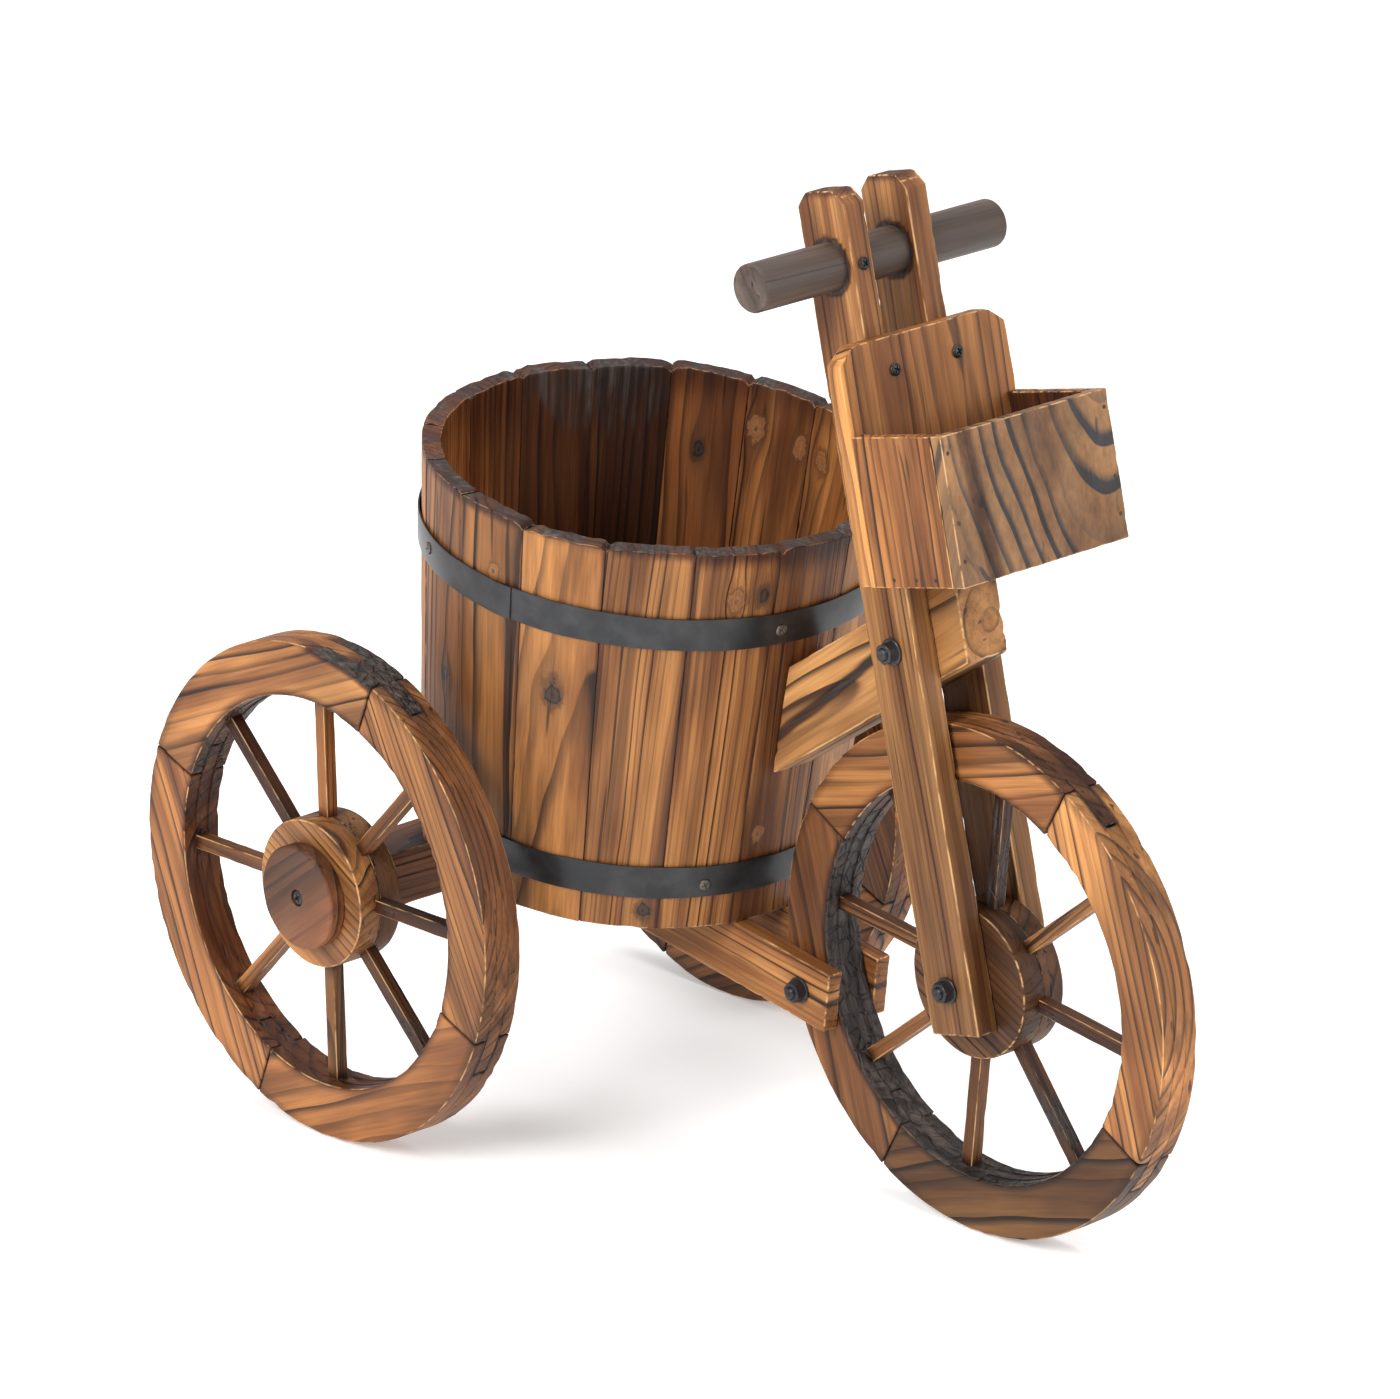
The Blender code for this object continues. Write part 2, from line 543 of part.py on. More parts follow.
def make_box():
    """The planter box in front of the fork: a clipped backboard, two sides, a front and a bottom."""
    half, thick, bottom = BOX_WIDTH / 2, PANEL_THICKNESS, BOX_BOTTOM
    back = -LEG_WIDTH / 2 - GAP
    face = back - BACKBOARD_THICKNESS
    front = face - BOX_DEPTH
    top = bottom + BOX_HEIGHT
    clip_x, clip_z = half - BACKBOARD_CLIP_WIDTH, BACKBOARD_TOP - BACKBOARD_CLIP_HEIGHT
    outline = [(-half, bottom), (half, bottom), (half, clip_z), (clip_x, BACKBOARD_TOP),
               (-clip_x, BACKBOARD_TOP), (-half, clip_z)]
    board = add_object("box_backboard", plate_mesh("box_backboard", outline, face, back, "Y"),
                       wood("box_backboard"), fork)
    for name, side in (("box_screw_right", -1), ("box_screw_left", 1)):
        place = (side * LEG_MIDDLE, face - GAP, BACKBOARD_TOP - BOX_SCREW_FROM_TOP)
        add_hole(board, SCREW_RADIUS + GAP, place, 4 * BACKBOARD_THICKNESS, "Y", fork)
        screw = screw_mesh(name, SCREW_RADIUS, SCREW_GRIP, SCREW_HEAD_RADIUS, SCREW_HEAD_DEPTH, "Y")
        add_object(name, screw, metal(name), fork, place)
    inside_front = front + thick + GAP
    panels = {
        "box_front": ((-half, front, bottom), (half, front + thick, top)),
        "box_side_right": ((-half, inside_front, bottom), (thick - half, face - GAP, top)),
        "box_side_left": ((half - thick, inside_front, bottom), (half, face - GAP, top)),
        "box_bottom": ((thick + GAP - half, inside_front, bottom),
                       (half - thick - GAP, face - GAP, bottom + thick)),
    }
    for name, (low, high) in panels.items():
        add_object(name, block_mesh(name, low, high), wood(name), fork)


clear_scene()
deck = make_frame("deck", DECK_CENTRE, DECK_TILT)
fork = make_frame("fork", FRONT_AXLE, -FORK_LEAN)

rim_middle = (WHEEL_RADIUS + RIM_INNER) / 2
rail_middle = -GAP - RAIL_HEIGHT / 2
axle_on_deck = deck_point(FRONT_AXLE)
rail_bolt_place = Vector((0, axle_on_deck.y + sqrt(rim_middle ** 2 - (rail_middle - axle_on_deck.z) ** 2),
                          rail_middle))

make_frame_timber(rail_bolt_place)
make_fork()
make_main_beam()
make_barrel()
make_box()

for wheel, wheel_side in (("rear_wheel_right", -1), ("rear_wheel_left", 1)):
    hub_place = REAR_AXLE + Vector((wheel_side * TRACK / 2, 0, 0))
    wheel_axle = make_wheel(wheel, hub_place, 0, HUB_SCREW_RADIUS + GAP)
    make_hub_cap(f"{wheel}_cap", wheel_axle, wheel_side)
    head_place = HUB_WIDTH / 2 + GAP + CAP_WIDTH - HUB_SCREW_HEAD_DEPTH
    beam_end = HUB_WIDTH / 2 + AXLE_PLAY
    screw_solid = screw_mesh(f"{wheel}_screw", HUB_SCREW_RADIUS, head_place + beam_end + HUB_SCREW_GRIP,
                             HUB_SCREW_HEAD_RADIUS, HUB_SCREW_HEAD_DEPTH, "X", wheel_side)
    add_object(f"{wheel}_screw", screw_solid, metal(f"{wheel}_screw"), None,
               hub_place + Vector((wheel_side * head_place, 0, 0)))

rail_bolt_world = deck.matrix_basis @ rail_bolt_place
make_wheel("front_wheel", FRONT_AXLE, FRONT_WHEEL_TURN, BOLT_RADIUS + GAP, rail_bolt_world)
leg_face = FORK_GAP / 2 + LEG_THICKNESS
make_bolt("front_axle", None, FRONT_AXLE, leg_face)
make_bolt("beam", None, fork.matrix_basis @ Vector((0, 0, BEAM_BOLT_UP)), leg_face)
make_bolt("rail", deck, rail_bolt_place, RIM_WIDTH / 2 + GAP + RAIL_WIDTH)
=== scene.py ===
from math import ceil, cos, pi, radians, sin, sqrt

import bmesh
import bpy
import numpy as np
from mathutils import Matrix, Vector


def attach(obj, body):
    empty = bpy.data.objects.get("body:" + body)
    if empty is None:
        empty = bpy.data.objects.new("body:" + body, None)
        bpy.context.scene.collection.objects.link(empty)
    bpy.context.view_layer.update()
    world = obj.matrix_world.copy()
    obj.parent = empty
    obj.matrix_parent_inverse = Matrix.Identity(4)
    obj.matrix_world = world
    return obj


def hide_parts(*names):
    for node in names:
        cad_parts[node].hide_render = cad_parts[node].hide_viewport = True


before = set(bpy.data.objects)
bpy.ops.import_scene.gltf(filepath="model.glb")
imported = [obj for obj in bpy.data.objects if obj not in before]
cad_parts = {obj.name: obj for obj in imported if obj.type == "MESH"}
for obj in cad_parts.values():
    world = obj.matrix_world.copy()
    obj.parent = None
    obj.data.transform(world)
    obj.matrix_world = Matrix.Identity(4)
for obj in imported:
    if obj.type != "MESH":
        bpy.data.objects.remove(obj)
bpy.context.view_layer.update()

MM = 0.001

# Sizes of the frame, in metres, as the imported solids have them
WHEEL_RADIUS = 135 * MM
RIM_DEPTH = 29.5 * MM
RIM_WIDTH = 24 * MM
RIM_INNER = WHEEL_RADIUS - RIM_DEPTH
RIM_MIDDLE = (WHEEL_RADIUS + RIM_INNER) / 2
TONGUE_WIDTH = 8 * MM
TONGUE_LENGTH = 22 * MM
HUB_RADIUS = 40 * MM
HUB_WIDTH = 28 * MM
SPOKE_SIZE = 7.5 * MM
CAP_RADIUS = 28 * MM
CAP_WIDTH = 9 * MM
TRACK = 290 * MM
BARREL_HEIGHT = 220 * MM
BARREL_TOP_RADIUS = 125 * MM
BARREL_BASE_RADIUS = 109.5 * MM
STAVE_THICKNESS = 11 * MM
STAVE_COUNT = 17
STAVE_SECTOR = 2 * pi / STAVE_COUNT
STAVE_TURN = radians(2.8)
HOOP_HEIGHT = 18 * MM
HOOP_LIFTS = {"hoop_upper": 164 * MM, "hoop_lower": 19 * MM}
FORK_GAP = 29 * MM
LEG_THICKNESS = 14 * MM
LEG_WIDTH = 34 * MM
LEG_FOOT = 24 * MM
BEAM_HEIGHT = 44 * MM
BEAM_PITCH = radians(32.7)
FORK_LEAN = radians(12)
HANDLE_RADIUS = 12.5 * MM
HANDLE_LENGTH = 166 * MM
BOX_WIDTH = 115 * MM
BOX_HEIGHT = 76 * MM
BOX_DEPTH = 64.5 * MM
PANEL = 7.5 * MM
BACKBOARD = 10 * MM
BACKBOARD_HEIGHT = 119.5 * MM
GAP = 0.3 * MM

REAR_AXLE = Vector((0, 0.170, 0.135))
FRONT_AXLE = Vector((0, -0.170, 0.135))
DECK = Matrix.Translation(REAR_AXLE + Vector((0, -0.0705, 0.0095))) @ Matrix.Rotation(radians(9), 4, "X")
FORK = Matrix.Translation(FRONT_AXLE) @ Matrix.Rotation(-FORK_LEAN, 4, "X")
BEAM_FROM_FORK = BEAM_PITCH - FORK_LEAN
BEAM_BOLT_UP = (WHEEL_RADIUS + 6.2 * MM + BEAM_HEIGHT / 2) / cos(BEAM_FROM_FORK)
BEAM_TIP = LEG_WIDTH / 2 + 21 * MM
SLOPE = Matrix.Translation(FORK @ Vector((0, 0, BEAM_BOLT_UP))) @ Matrix.Rotation(-BEAM_PITCH, 4, "X")
BOX_BOTTOM = ((WHEEL_RADIUS + 6.2 * MM + BEAM_HEIGHT + BEAM_TIP * sin(BEAM_FROM_FORK)) / cos(BEAM_FROM_FORK)
              + 1.5 * MM)
BACKBOARD_TOP = BOX_BOTTOM + BACKBOARD_HEIGHT
LEG_TOP = BACKBOARD_TOP + 74.5 * MM
HANDLE_UP = LEG_TOP - 38 * MM
BOARD_FACE = -LEG_WIDTH / 2 - GAP - BACKBOARD


# ---------------------------------------------------------------- numbers

def noise(points, seed=0):
    """Smooth noise from -1 to 1, with features about one unit wide."""
    cell = np.floor(points).astype(np.int64)
    part = points - cell
    part = part * part * (3 - 2 * part)
    total = np.zeros(len(points))
    for corner in range(8):
        offset = np.array([corner & 1, corner >> 1 & 1, corner >> 2 & 1])
        key = (cell + offset) * np.array([73856093, 19349663, 83492791])
        code = (key[:, 0] ^ key[:, 1] ^ key[:, 2]) + seed * 374761393
        code = (code ^ (code >> 13)) * 1274126177 & 0xFFFFFFFF
        code = (code ^ (code >> 16)) & 0xFFFF
        weight = np.prod(np.where(offset == 1, part, 1 - part), axis=1)
        total += weight * (code / 32767.5 - 1)
    return total


def smooth(value, low, high):
    t = np.clip((value - low) / (high - low), 0, 1)
    return t * t * (3 - 2 * t)


def place(matrix, points):
    m = np.array(matrix, float)
    return points @ m[:3, :3].T + m[:3, 3]


# ---------------------------------------------------------------- solids

def lines(half, step, ease, extra=()):
    """Grid positions across a side, closer together where its edges are rounded."""
    inner = half - 1.9 * ease
    middle = np.linspace(-inner, inner, max(1, ceil(2 * inner / step)) + 1)
    near = [0, 0.18 * ease, 0.5 * ease, ease]
    values = [-half + e for e in near] + list(middle) + [half - e for e in near] + list(extra)
    return np.array(sorted(set(round(v, 7) for v in values)))


def grid_block(size, step, ease, seed, chips=1.0, extra=((), (), ()), wave=0.15 * MM, waving=(1, 1, 1)):
    """A block with worn, unevenly rounded edges, centred on the origin.
    Returns its points, its quads and how near each point is to an edge, from 0 to 1."""
    half = np.array(size, float) / 2
    u, v, w = (lines(h, s, ease, e) for h, s, e in zip(half, step, extra))
    on = np.zeros((len(u), len(v), len(w)), bool)
    on[[0, -1]] = True
    on[:, [0, -1]] = True
    on[:, :, [0, -1]] = True
    index = -np.ones(on.shape, int)
    index[on] = np.arange(on.sum())
    p = np.stack(np.meshgrid(u, v, w, indexing="ij"), -1)[on]
    quads = []
    for sheet, flip in ((index[:, :, 0], 1), (index[:, :, -1], 0), (index[:, 0, :], 0),
                        (index[:, -1, :], 1), (index[0], 1), (index[-1], 0)):
        q = np.stack([sheet[:-1, :-1], sheet[1:, :-1], sheet[1:, 1:], sheet[:-1, 1:]], -1).reshape(-1, 4)
        quads.append(q[:, ::-1] if flip else q)
    close = np.clip(1 - (half - np.abs(p)) / (2.2 * ease), 0, 1)
    edge = np.sort(close, axis=1)[:, 1]
    key = np.where(half - np.abs(p) < 3 * ease, np.sign(p) * half, p)
    wear = 0.8 + 0.35 * noise(key * 90, seed)
    wear += chips * 2.6 * np.clip(noise(key * 330, seed + 1) - 0.3, 0, 1)
    wear += chips * 1.6 * np.clip(noise(key * 120, seed + 2) - 0.35, 0, 1)
    radius = np.minimum(ease * wear, half.min() * 0.8)[:, None]
    inner = half - radius
    core = np.clip(p, -inner, inner)
    out = p - core
    length = np.maximum(np.linalg.norm(out, axis=1)[:, None], 1e-12)
    normal = out / length
    dips = wave * (0.5 + 0.5 * noise(p * 55, seed + 3))
    p = core + normal * radius - normal * np.array(waving) * dips[:, None]
    return p, np.concatenate(quads), edge


def grid_turned(profile, steps, seed=0, wobble=0.0):
    """A ring or disc turned about X from (x, radius, edge) corners, which close on themselves."""
    rows = np.array(profile, float)
    angle = np.linspace(0, 2 * pi, steps, endpoint=False)
    x = np.repeat(rows[:, 0], steps)
    reach = np.repeat(rows[:, 1], steps)
    turn = np.tile(angle, len(rows))
    if wobble:
        around = np.stack([x * 200, np.cos(turn) * 9, np.sin(turn) * 9], -1)
        reach = reach - np.repeat(rows[:, 2], steps) * wobble * (1 + noise(around, seed)) / 2
        reach = reach - wobble * 0.4 * (1 + noise(around * 0.4, seed + 5)) / 2 * (reach > 0.5 * rows[:, 1].max())
    p = np.stack([x, reach * np.cos(turn), reach * np.sin(turn)], -1)
    ids = np.arange(len(rows) * steps).reshape(len(rows), steps)
    here, there = ids, np.roll(ids, -1, axis=0)
    quads = np.stack([here, np.roll(here, -1, 1), np.roll(there, -1, 1), there], -1).reshape(-1, 4)
    return p, quads, np.repeat(rows[:, 2], steps)


def eased(corners, ease, rings=()):
    """Rounds the corners of a closed (x, radius) outline; its rings argument is not used."""
    out = []
    count = len(corners)
    for n, corner in enumerate(corners):
        here = np.array(corner[:2], float)
        reach = corner[2] if len(corner) > 2 else ease
        before = np.array(corners[n - 1][:2], float) - here
        after = np.array(corners[(n + 1) % count][:2], float) - here
        before /= np.linalg.norm(before)
        after /= np.linalg.norm(after)
        for t, mark in ((1.8, 0), (1.0, 0.5)):
            out.append((*(here + before * reach * t), mark))
        out.append((*(here + (before + after) * reach * 0.3), 1))
        for t, mark in ((1.0, 0.5), (1.8, 0)):
            out.append((*(here + after * reach * t), mark))
    return out


def grid_head(radius, depth, recess=True, steps=48):
    """A pan screw head standing along +X from x = 0, with a cross recess."""
    rings = np.array([0.03, 0.12, 0.2, 0.28, 0.36, 0.44, 0.52, 0.6, 0.7, 0.8, 0.9, 0.97, 1.0, 1.0])
    lift = np.where(np.arange(14) == 13, 0, np.sqrt(np.clip(1 - (rings * 0.985) ** 2.6, 0, 1)) * 0.8 + 0.2)
    turn = np.linspace(0, 2 * pi, steps, endpoint=False)
    r, a = np.meshgrid(rings, turn, indexing="ij")
    x = np.repeat(lift[:, None], steps, 1) * depth
    if recess:
        y, z = r * np.cos(a), r * np.sin(a)
        arm = np.minimum(np.abs(y), np.abs(z))
        hole = (1 - smooth(arm, 0.07, 0.17)) * (1 - smooth(r, 0.5, 0.62))
        x = x - hole * depth * 0.75
    p = np.stack([x, r * radius * np.cos(a), r * radius * np.sin(a)], -1).reshape(-1, 3)
    ids = np.arange(len(p)).reshape(r.shape)
    here, there = ids[:-1], ids[1:]
    quads = np.stack([here, there, np.roll(there, -1, 1), np.roll(here, -1, 1)], -1).reshape(-1, 4)
    return p, quads, np.repeat(rings, steps), [ids[0][::-1], ids[-1]]


def grid_hex(flat, low, high, flange, thickness, bore=0.0, steps=72):
    """A hexagon with chamfered corners on a flange, along +X, for a nut or a bolt's head."""
    turn = np.linspace(0, 2 * pi, steps, endpoint=False)
    side = (flat / 2) / np.cos((turn + pi / 6) % (pi / 3) - pi / 6)
    ring = np.full(steps, flange)
    middle = flat / 2
    tall = high - thickness - low
    rows = [(low, ring * 0.97), (low + 0.2 * thickness, ring), (low + 0.75 * thickness, ring),
            (low + thickness, ring * 0.93), (low + thickness * 1.05, side * 1.02), (low + thickness * 1.3, side),
            (high - tall * 0.2, side), (high - tall * 0.06, np.minimum(side, middle * 1.08)),
            (high, np.full(steps, middle * 0.93)), (high, np.full(steps, max(bore * 1.15, 0.3 * MM))),
            (high - 0.4 * MM, np.full(steps, max(bore, 0.2 * MM))),
            (low, np.full(steps, max(bore, 0.2 * MM)))]
    p = np.concatenate([np.stack([np.full(steps, x), r * np.cos(turn), r * np.sin(turn)], -1) for x, r in rows])
    ids = np.arange(len(p)).reshape(len(rows), steps)
    here, there = ids, np.roll(ids, -1, 0)
    quads = np.stack([here, np.roll(here, -1, 1), np.roll(there, -1, 1), there], -1).reshape(-1, 4)
    return p, quads, np.zeros(len(p))


# ---------------------------------------------------------------- pieces

class Piece:
    """Collects solids, with the wood coordinates of their points, into one mesh object."""

    def __init__(self, name):
        self.name, self.count = name, 0
        self.points, self.faces = [], []
        self.data = {"grain": [], "knot_a": [], "knot_b": [], "tone": [], "edge": []}

    def add(self, points, quads, edge, grain=None, tone=(0, 0), char=0.0, knots=(), plan=None, ends=()):
        """plan gives the (along, across) position of each point, in which the knots are placed."""
        n = len(points)
        self.points.append(points)
        self.faces += [[int(i) + self.count for i in q] for q in quads]
        self.faces += [[int(i) + self.count for i in end] for end in ends]
        self.count += n
        self.data["grain"].append(points if grain is None else grain)
        for slot, knot in zip(("knot_a", "knot_b"), (list(knots) + [None, None])[:2]):
            value = np.full((n, 3), 40.0)
            if knot is not None:
                along, across, radius, kind = knot
                value = np.stack([(plan[:, 0] - along) / radius, (plan[:, 1] - across) / radius,
                                  np.full(n, float(kind))], -1)
            self.data[slot].append(value)
        self.data["tone"].append(np.stack([np.broadcast_to(t, n) for t in (*tone, char)], -1))
        self.data["edge"].append(edge)
        return self

    def make(self, material, body, replaces=(), slot=None, angle=38):
        mesh = bpy.data.meshes.new(self.name)
        mesh.from_pydata(np.concatenate(self.points).tolist(), [], self.faces)
        for key, values in self.data.items():
            values = np.concatenate(values).astype(np.float32)
            kind = "FLOAT" if values.ndim == 1 else "FLOAT_VECTOR"
            layer = mesh.attributes.new(key, kind, "POINT")
            layer.data.foreach_set("value" if kind == "FLOAT" else "vector", values.ravel())
        bm = bmesh.new()
        bm.from_mesh(mesh)
        bmesh.ops.recalc_face_normals(bm, faces=bm.faces)
        bm.to_mesh(mesh)
        bm.free()
        mesh.materials.append(material)
        mesh.shade_smooth()
        mesh.set_sharp_from_angle(angle=radians(angle))
        thing = bpy.data.objects.new(self.name, mesh)
        bpy.context.scene.collection.objects.link(thing)
        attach(thing, body)
        if replaces:
            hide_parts(*replaces)
        return thing


def log_place(flat, seed, pith=None, tilt=None, ring=1.0):
    """Where points of a board lie in the log it was sawn from: along it, and from its middle."""
    rng = np.random.default_rng(seed)
    angle, away = rng.uniform(0, 2 * pi), rng.uniform(0.03, 0.085)
    lean = rng.normal(0, 0.022, 2)
    start = rng.uniform(0, 40)
    v0, w0 = pith if pith is not None else (away * cos(angle), away * sin(angle))
    tv, tw = tilt if tilt is not None else lean
    u, v, w = flat.T
    return np.stack([u + start, (v - v0 + u * tv) * ring, (w - w0 + u * tw) * ring], -1)


# ---------------------------------------------------------------- materials

class Graph:
    """Short calls for making a node tree."""

    def __init__(self, material):
        self.tree = material.node_tree
        self.shader = self.tree.nodes["Principled BSDF"]

    def node(self, kind, *values, **settings):
        made = self.tree.nodes.new(kind)
        for key, value in settings.items():
            setattr(made, key, value)
        for slot, value in enumerate(values):
            self.put(made.inputs[slot], value)
        return made

    def put(self, socket, value):
        if value is None:
            return
        if isinstance(value, bpy.types.NodeSocket):
            self.tree.links.new(value, socket)
        else:
            socket.default_value = value

    def attribute(self, name, output="Vector"):
        return self.node("ShaderNodeAttribute", attribute_name=name).outputs[output]

    def math(self, operation, a, b=None, c=None, clamp=False):
        return self.node("ShaderNodeMath", a, b, c, operation=operation, use_clamp=clamp).outputs[0]

    def vector(self, operation, a, b=None, output=0):
        return self.node("ShaderNodeVectorMath", a, b, operation=operation).outputs[output]

    def split(self, vector):
        return self.node("ShaderNodeSeparateXYZ", vector).outputs

    def join(self, x, y, z):
        return self.node("ShaderNodeCombineXYZ", x, y, z).outputs[0]

    def noise(self, vector, scale, detail=2.0, rough=0.5, output=0):
        made = self.node("ShaderNodeTexNoise", noise_dimensions="3D")
        self.put(made.inputs["Vector"], self.vector("MULTIPLY", vector, scale))
        self.put(made.inputs["Scale"], 1.0)
        self.put(made.inputs["Detail"], detail)
        self.put(made.inputs["Roughness"], rough)
        return made.outputs[output]

    def step(self, value, low, high, to_low=0.0, to_high=1.0):
        return self.node("ShaderNodeMapRange", value, low, high, to_low, to_high,
                         interpolation_type="SMOOTHSTEP").outputs[0]

    def mix(self, share, a, b, blend="MIX"):
        made = self.node("ShaderNodeMix", data_type="RGBA", blend_type=blend)
        for socket, value in ((0, share), (6, a), (7, b)):
            if isinstance(value, tuple) and len(value) == 3:
                value = (*value, 1)
            self.put(made.inputs[socket], value)
        return made.outputs[2]


def wood(name, light, middle, dark, lines_dark=1.1, streaks=0.75, roughness=0.5, ridge=0.6, ring=4 * MM,
         knotty=False, crackle=False):
    """Torched and brushed softwood: growth rings in the log's own space, fibres, long dark checks,
    scorched streaks, knots that the rings bend around, worn edges, and char where a piece asks for it, which the fork
    legs also use for painted shade."""
    material = bpy.data.materials.new(name)
    material.use_nodes = True
    g = Graph(material)
    grain = g.attribute("grain")
    # char also holds painted shade on the fork legs, and light_shift painted shade on one disc of each rear hub
    light_shift, red, char = g.split(g.attribute("tone"))
    edge = g.attribute("edge", "Fac")

    bend = g.vector("SUBTRACT", g.noise(grain, (2.2, 13, 13), 2, 0.5, 1), (0.5, 0.5, 0.5))
    ripple = g.vector("SUBTRACT", g.noise(grain, (13, 80, 80), 1, 0.5, 1), (0.5, 0.5, 0.5))
    moved = g.vector("ADD", grain, g.vector("MULTIPLY", bend, (0, 0.022, 0.022)))
    moved = g.vector("ADD", moved, g.vector("MULTIPLY", ripple, (0, 0.0024, 0.0024)))
    _, across, depth = g.split(moved)

    knots = []
    for which in ("knot_a", "knot_b") if knotty else ():
        x, y, kind = g.split(g.attribute(which))
        x2 = g.math("MULTIPLY", g.math("MULTIPLY", x, x), 0.5)
        far = g.math("ADD", x2, g.math("MULTIPLY", y, y))
        near = g.math("EXPONENT", g.math("MULTIPLY", far, -0.28))
        side = g.math("DIVIDE", y, g.math("ADD", g.math("ABSOLUTE", y), 0.5))
        across = g.math("SUBTRACT", across, g.math("MULTIPLY", g.math("MULTIPLY", side, near), 0.0065))
        knots.append((g.math("SQRT", far), near, kind))

    reach = g.math("SQRT", g.math("ADD", g.math("MULTIPLY", across, across), g.math("MULTIPLY", depth, depth)))
    count = g.math("DIVIDE", reach, ring)
    year = g.math("FLOOR", count)
    season = g.math("FRACT", count)
    luck = g.math("POWER", g.node("ShaderNodeTexWhiteNoise", None, year, noise_dimensions="1D").outputs[0], 1.3)
    late = g.math("MULTIPLY", g.step(season, 0.5, 0.94), g.step(season, 0.95, 1.0, 1.0, 0.0))
    crowd = g.step(g.noise(g.vector("ADD", grain, (1.7, 0.3, 0.9)), (2.6, 38, 38), 1), 0.36, 0.62)
    bold = g.math("MULTIPLY", g.math("MULTIPLY_ADD", luck, 0.9, 0.15), g.math("MULTIPLY_ADD", crowd, 0.8, 0.4))
    line = g.math("MULTIPLY", late, bold)

    band = g.noise(g.join(0.0, g.math("MULTIPLY", reach, 75.0), 0.0), (1, 1, 1), 1.0)
    cloud = g.noise(grain, (3.2, 20, 20), 2)
    band = g.step(g.math("ADD", band, g.math("MULTIPLY", g.math("SUBTRACT", cloud, 0.5), 1.1)), 0.3, 0.7)
    torch = g.step(g.noise(grain, (5, 30, 30), 3, 0.62), 0.46, 0.62)
    fibre = g.noise(grain, (28, 1100, 1100), 1)
    strand = g.noise(grain, (8, 330, 330), 3, 0.62)
    scorch = g.step(g.noise(grain, (3.4, 62, 62), 3, 0.62), 0.53, 0.72)
    check = g.step(g.noise(g.vector("ADD", moved, (3.3, 0.7, 0.2)), (1.7, 300, 300), 1, 0.5), 0.66, 0.76)

    colour = g.mix(band, light, middle)
    colour = g.mix(g.math("MULTIPLY", line, lines_dark), colour, dark)
    colour = g.mix(g.math("MULTIPLY", scorch, streaks), colour, g.mix(0.4, dark, middle))
    colour = g.mix(g.math("MULTIPLY", torch, 0.62), colour, g.mix(1.0, colour, (0.42, 0.30, 0.23), "MULTIPLY"))
    colour = g.mix(g.math("MULTIPLY", check, 0.85), colour, dark)
    shade = g.math("ADD", g.math("MULTIPLY_ADD", fibre, 0.55, 0.2), g.math("MULTIPLY", strand, 1.0))
    shade = g.math("MULTIPLY", shade, g.math("POWER", 2.0, light_shift))
    colour = g.mix(1.0, colour, g.join(shade, shade, shade), "MULTIPLY")
    colour = g.mix(red, colour, g.mix(1.0, colour, (1.0, 0.62, 0.42), "MULTIPLY"))

    for far, near, kind in knots:
        lumpy = g.noise(grain, (150, 210, 210), 3, 0.65)
        fuzzy = g.math("ADD", far, g.math("MULTIPLY", g.math("SUBTRACT", lumpy, 0.5), 1.9))
        halo = g.math("MULTIPLY", g.math("MULTIPLY", near, g.math("MULTIPLY_ADD", kind, 0.8, 0.15)),
                      g.step(strand, 0.25, 0.6))
        colour = g.mix(halo, colour, g.mix(0.6, middle, dark))
        core = g.step(fuzzy, 0.6, 1.2, 1.0, 0.0)
        rings = g.math("FRACT", g.math("MULTIPLY", fuzzy, 1.4))
        eye = g.mix(g.step(rings, 0.1, 0.95), (0.30, 0.13, 0.045), (0.20, 0.08, 0.03))
        eye = g.mix(kind, eye, g.mix(g.step(rings, 0.3, 0.9), (0.055, 0.032, 0.022), (0.018, 0.012, 0.01)))
        eye = g.mix(g.step(fuzzy, 0.0, 0.35, 0.6, 0.0), eye, dark)
        colour = g.mix(core, colour, eye)
        rim = g.math("MULTIPLY", g.step(fuzzy, 0.7, 1.0), g.step(fuzzy, 1.05, 1.5, 1.0, 0.0))
        colour = g.mix(g.math("MULTIPLY", rim, 0.6), colour, g.mix(0.7, middle, dark))

    deep = g.math("ADD", char, g.math("MULTIPLY", g.math("SUBTRACT", strand, 0.5), g.math("MULTIPLY", char, 1.5)))
    deep = g.step(deep, 0.0, 0.6)
    colour = g.mix(deep, colour, g.mix(1.0, colour, (0.24, 0.17, 0.15), "MULTIPLY"))
    worn = g.math("MULTIPLY", g.step(g.noise(grain, (45, 260, 260), 3, 0.6), 0.4, 0.6), g.step(edge, 0.5, 0.95))
    colour = g.mix(g.math("MULTIPLY", worn, 0.8), colour, g.mix(0.65, light, (0.80, 0.50, 0.22)))

    patchy = g.math("SUBTRACT", g.noise(grain, (24, 70, 70), 3, 0.6), 0.5)
    burnt = g.step(g.math("ADD", char, g.math("MULTIPLY", patchy, 0.7)), 0.6, 0.85)
    coal = g.mix(g.step(strand, 0.4, 0.75), (0.017, 0.013, 0.012), (0.088, 0.068, 0.058))
    colour = g.mix(g.math("MULTIPLY", burnt, 0.93), colour, coal)

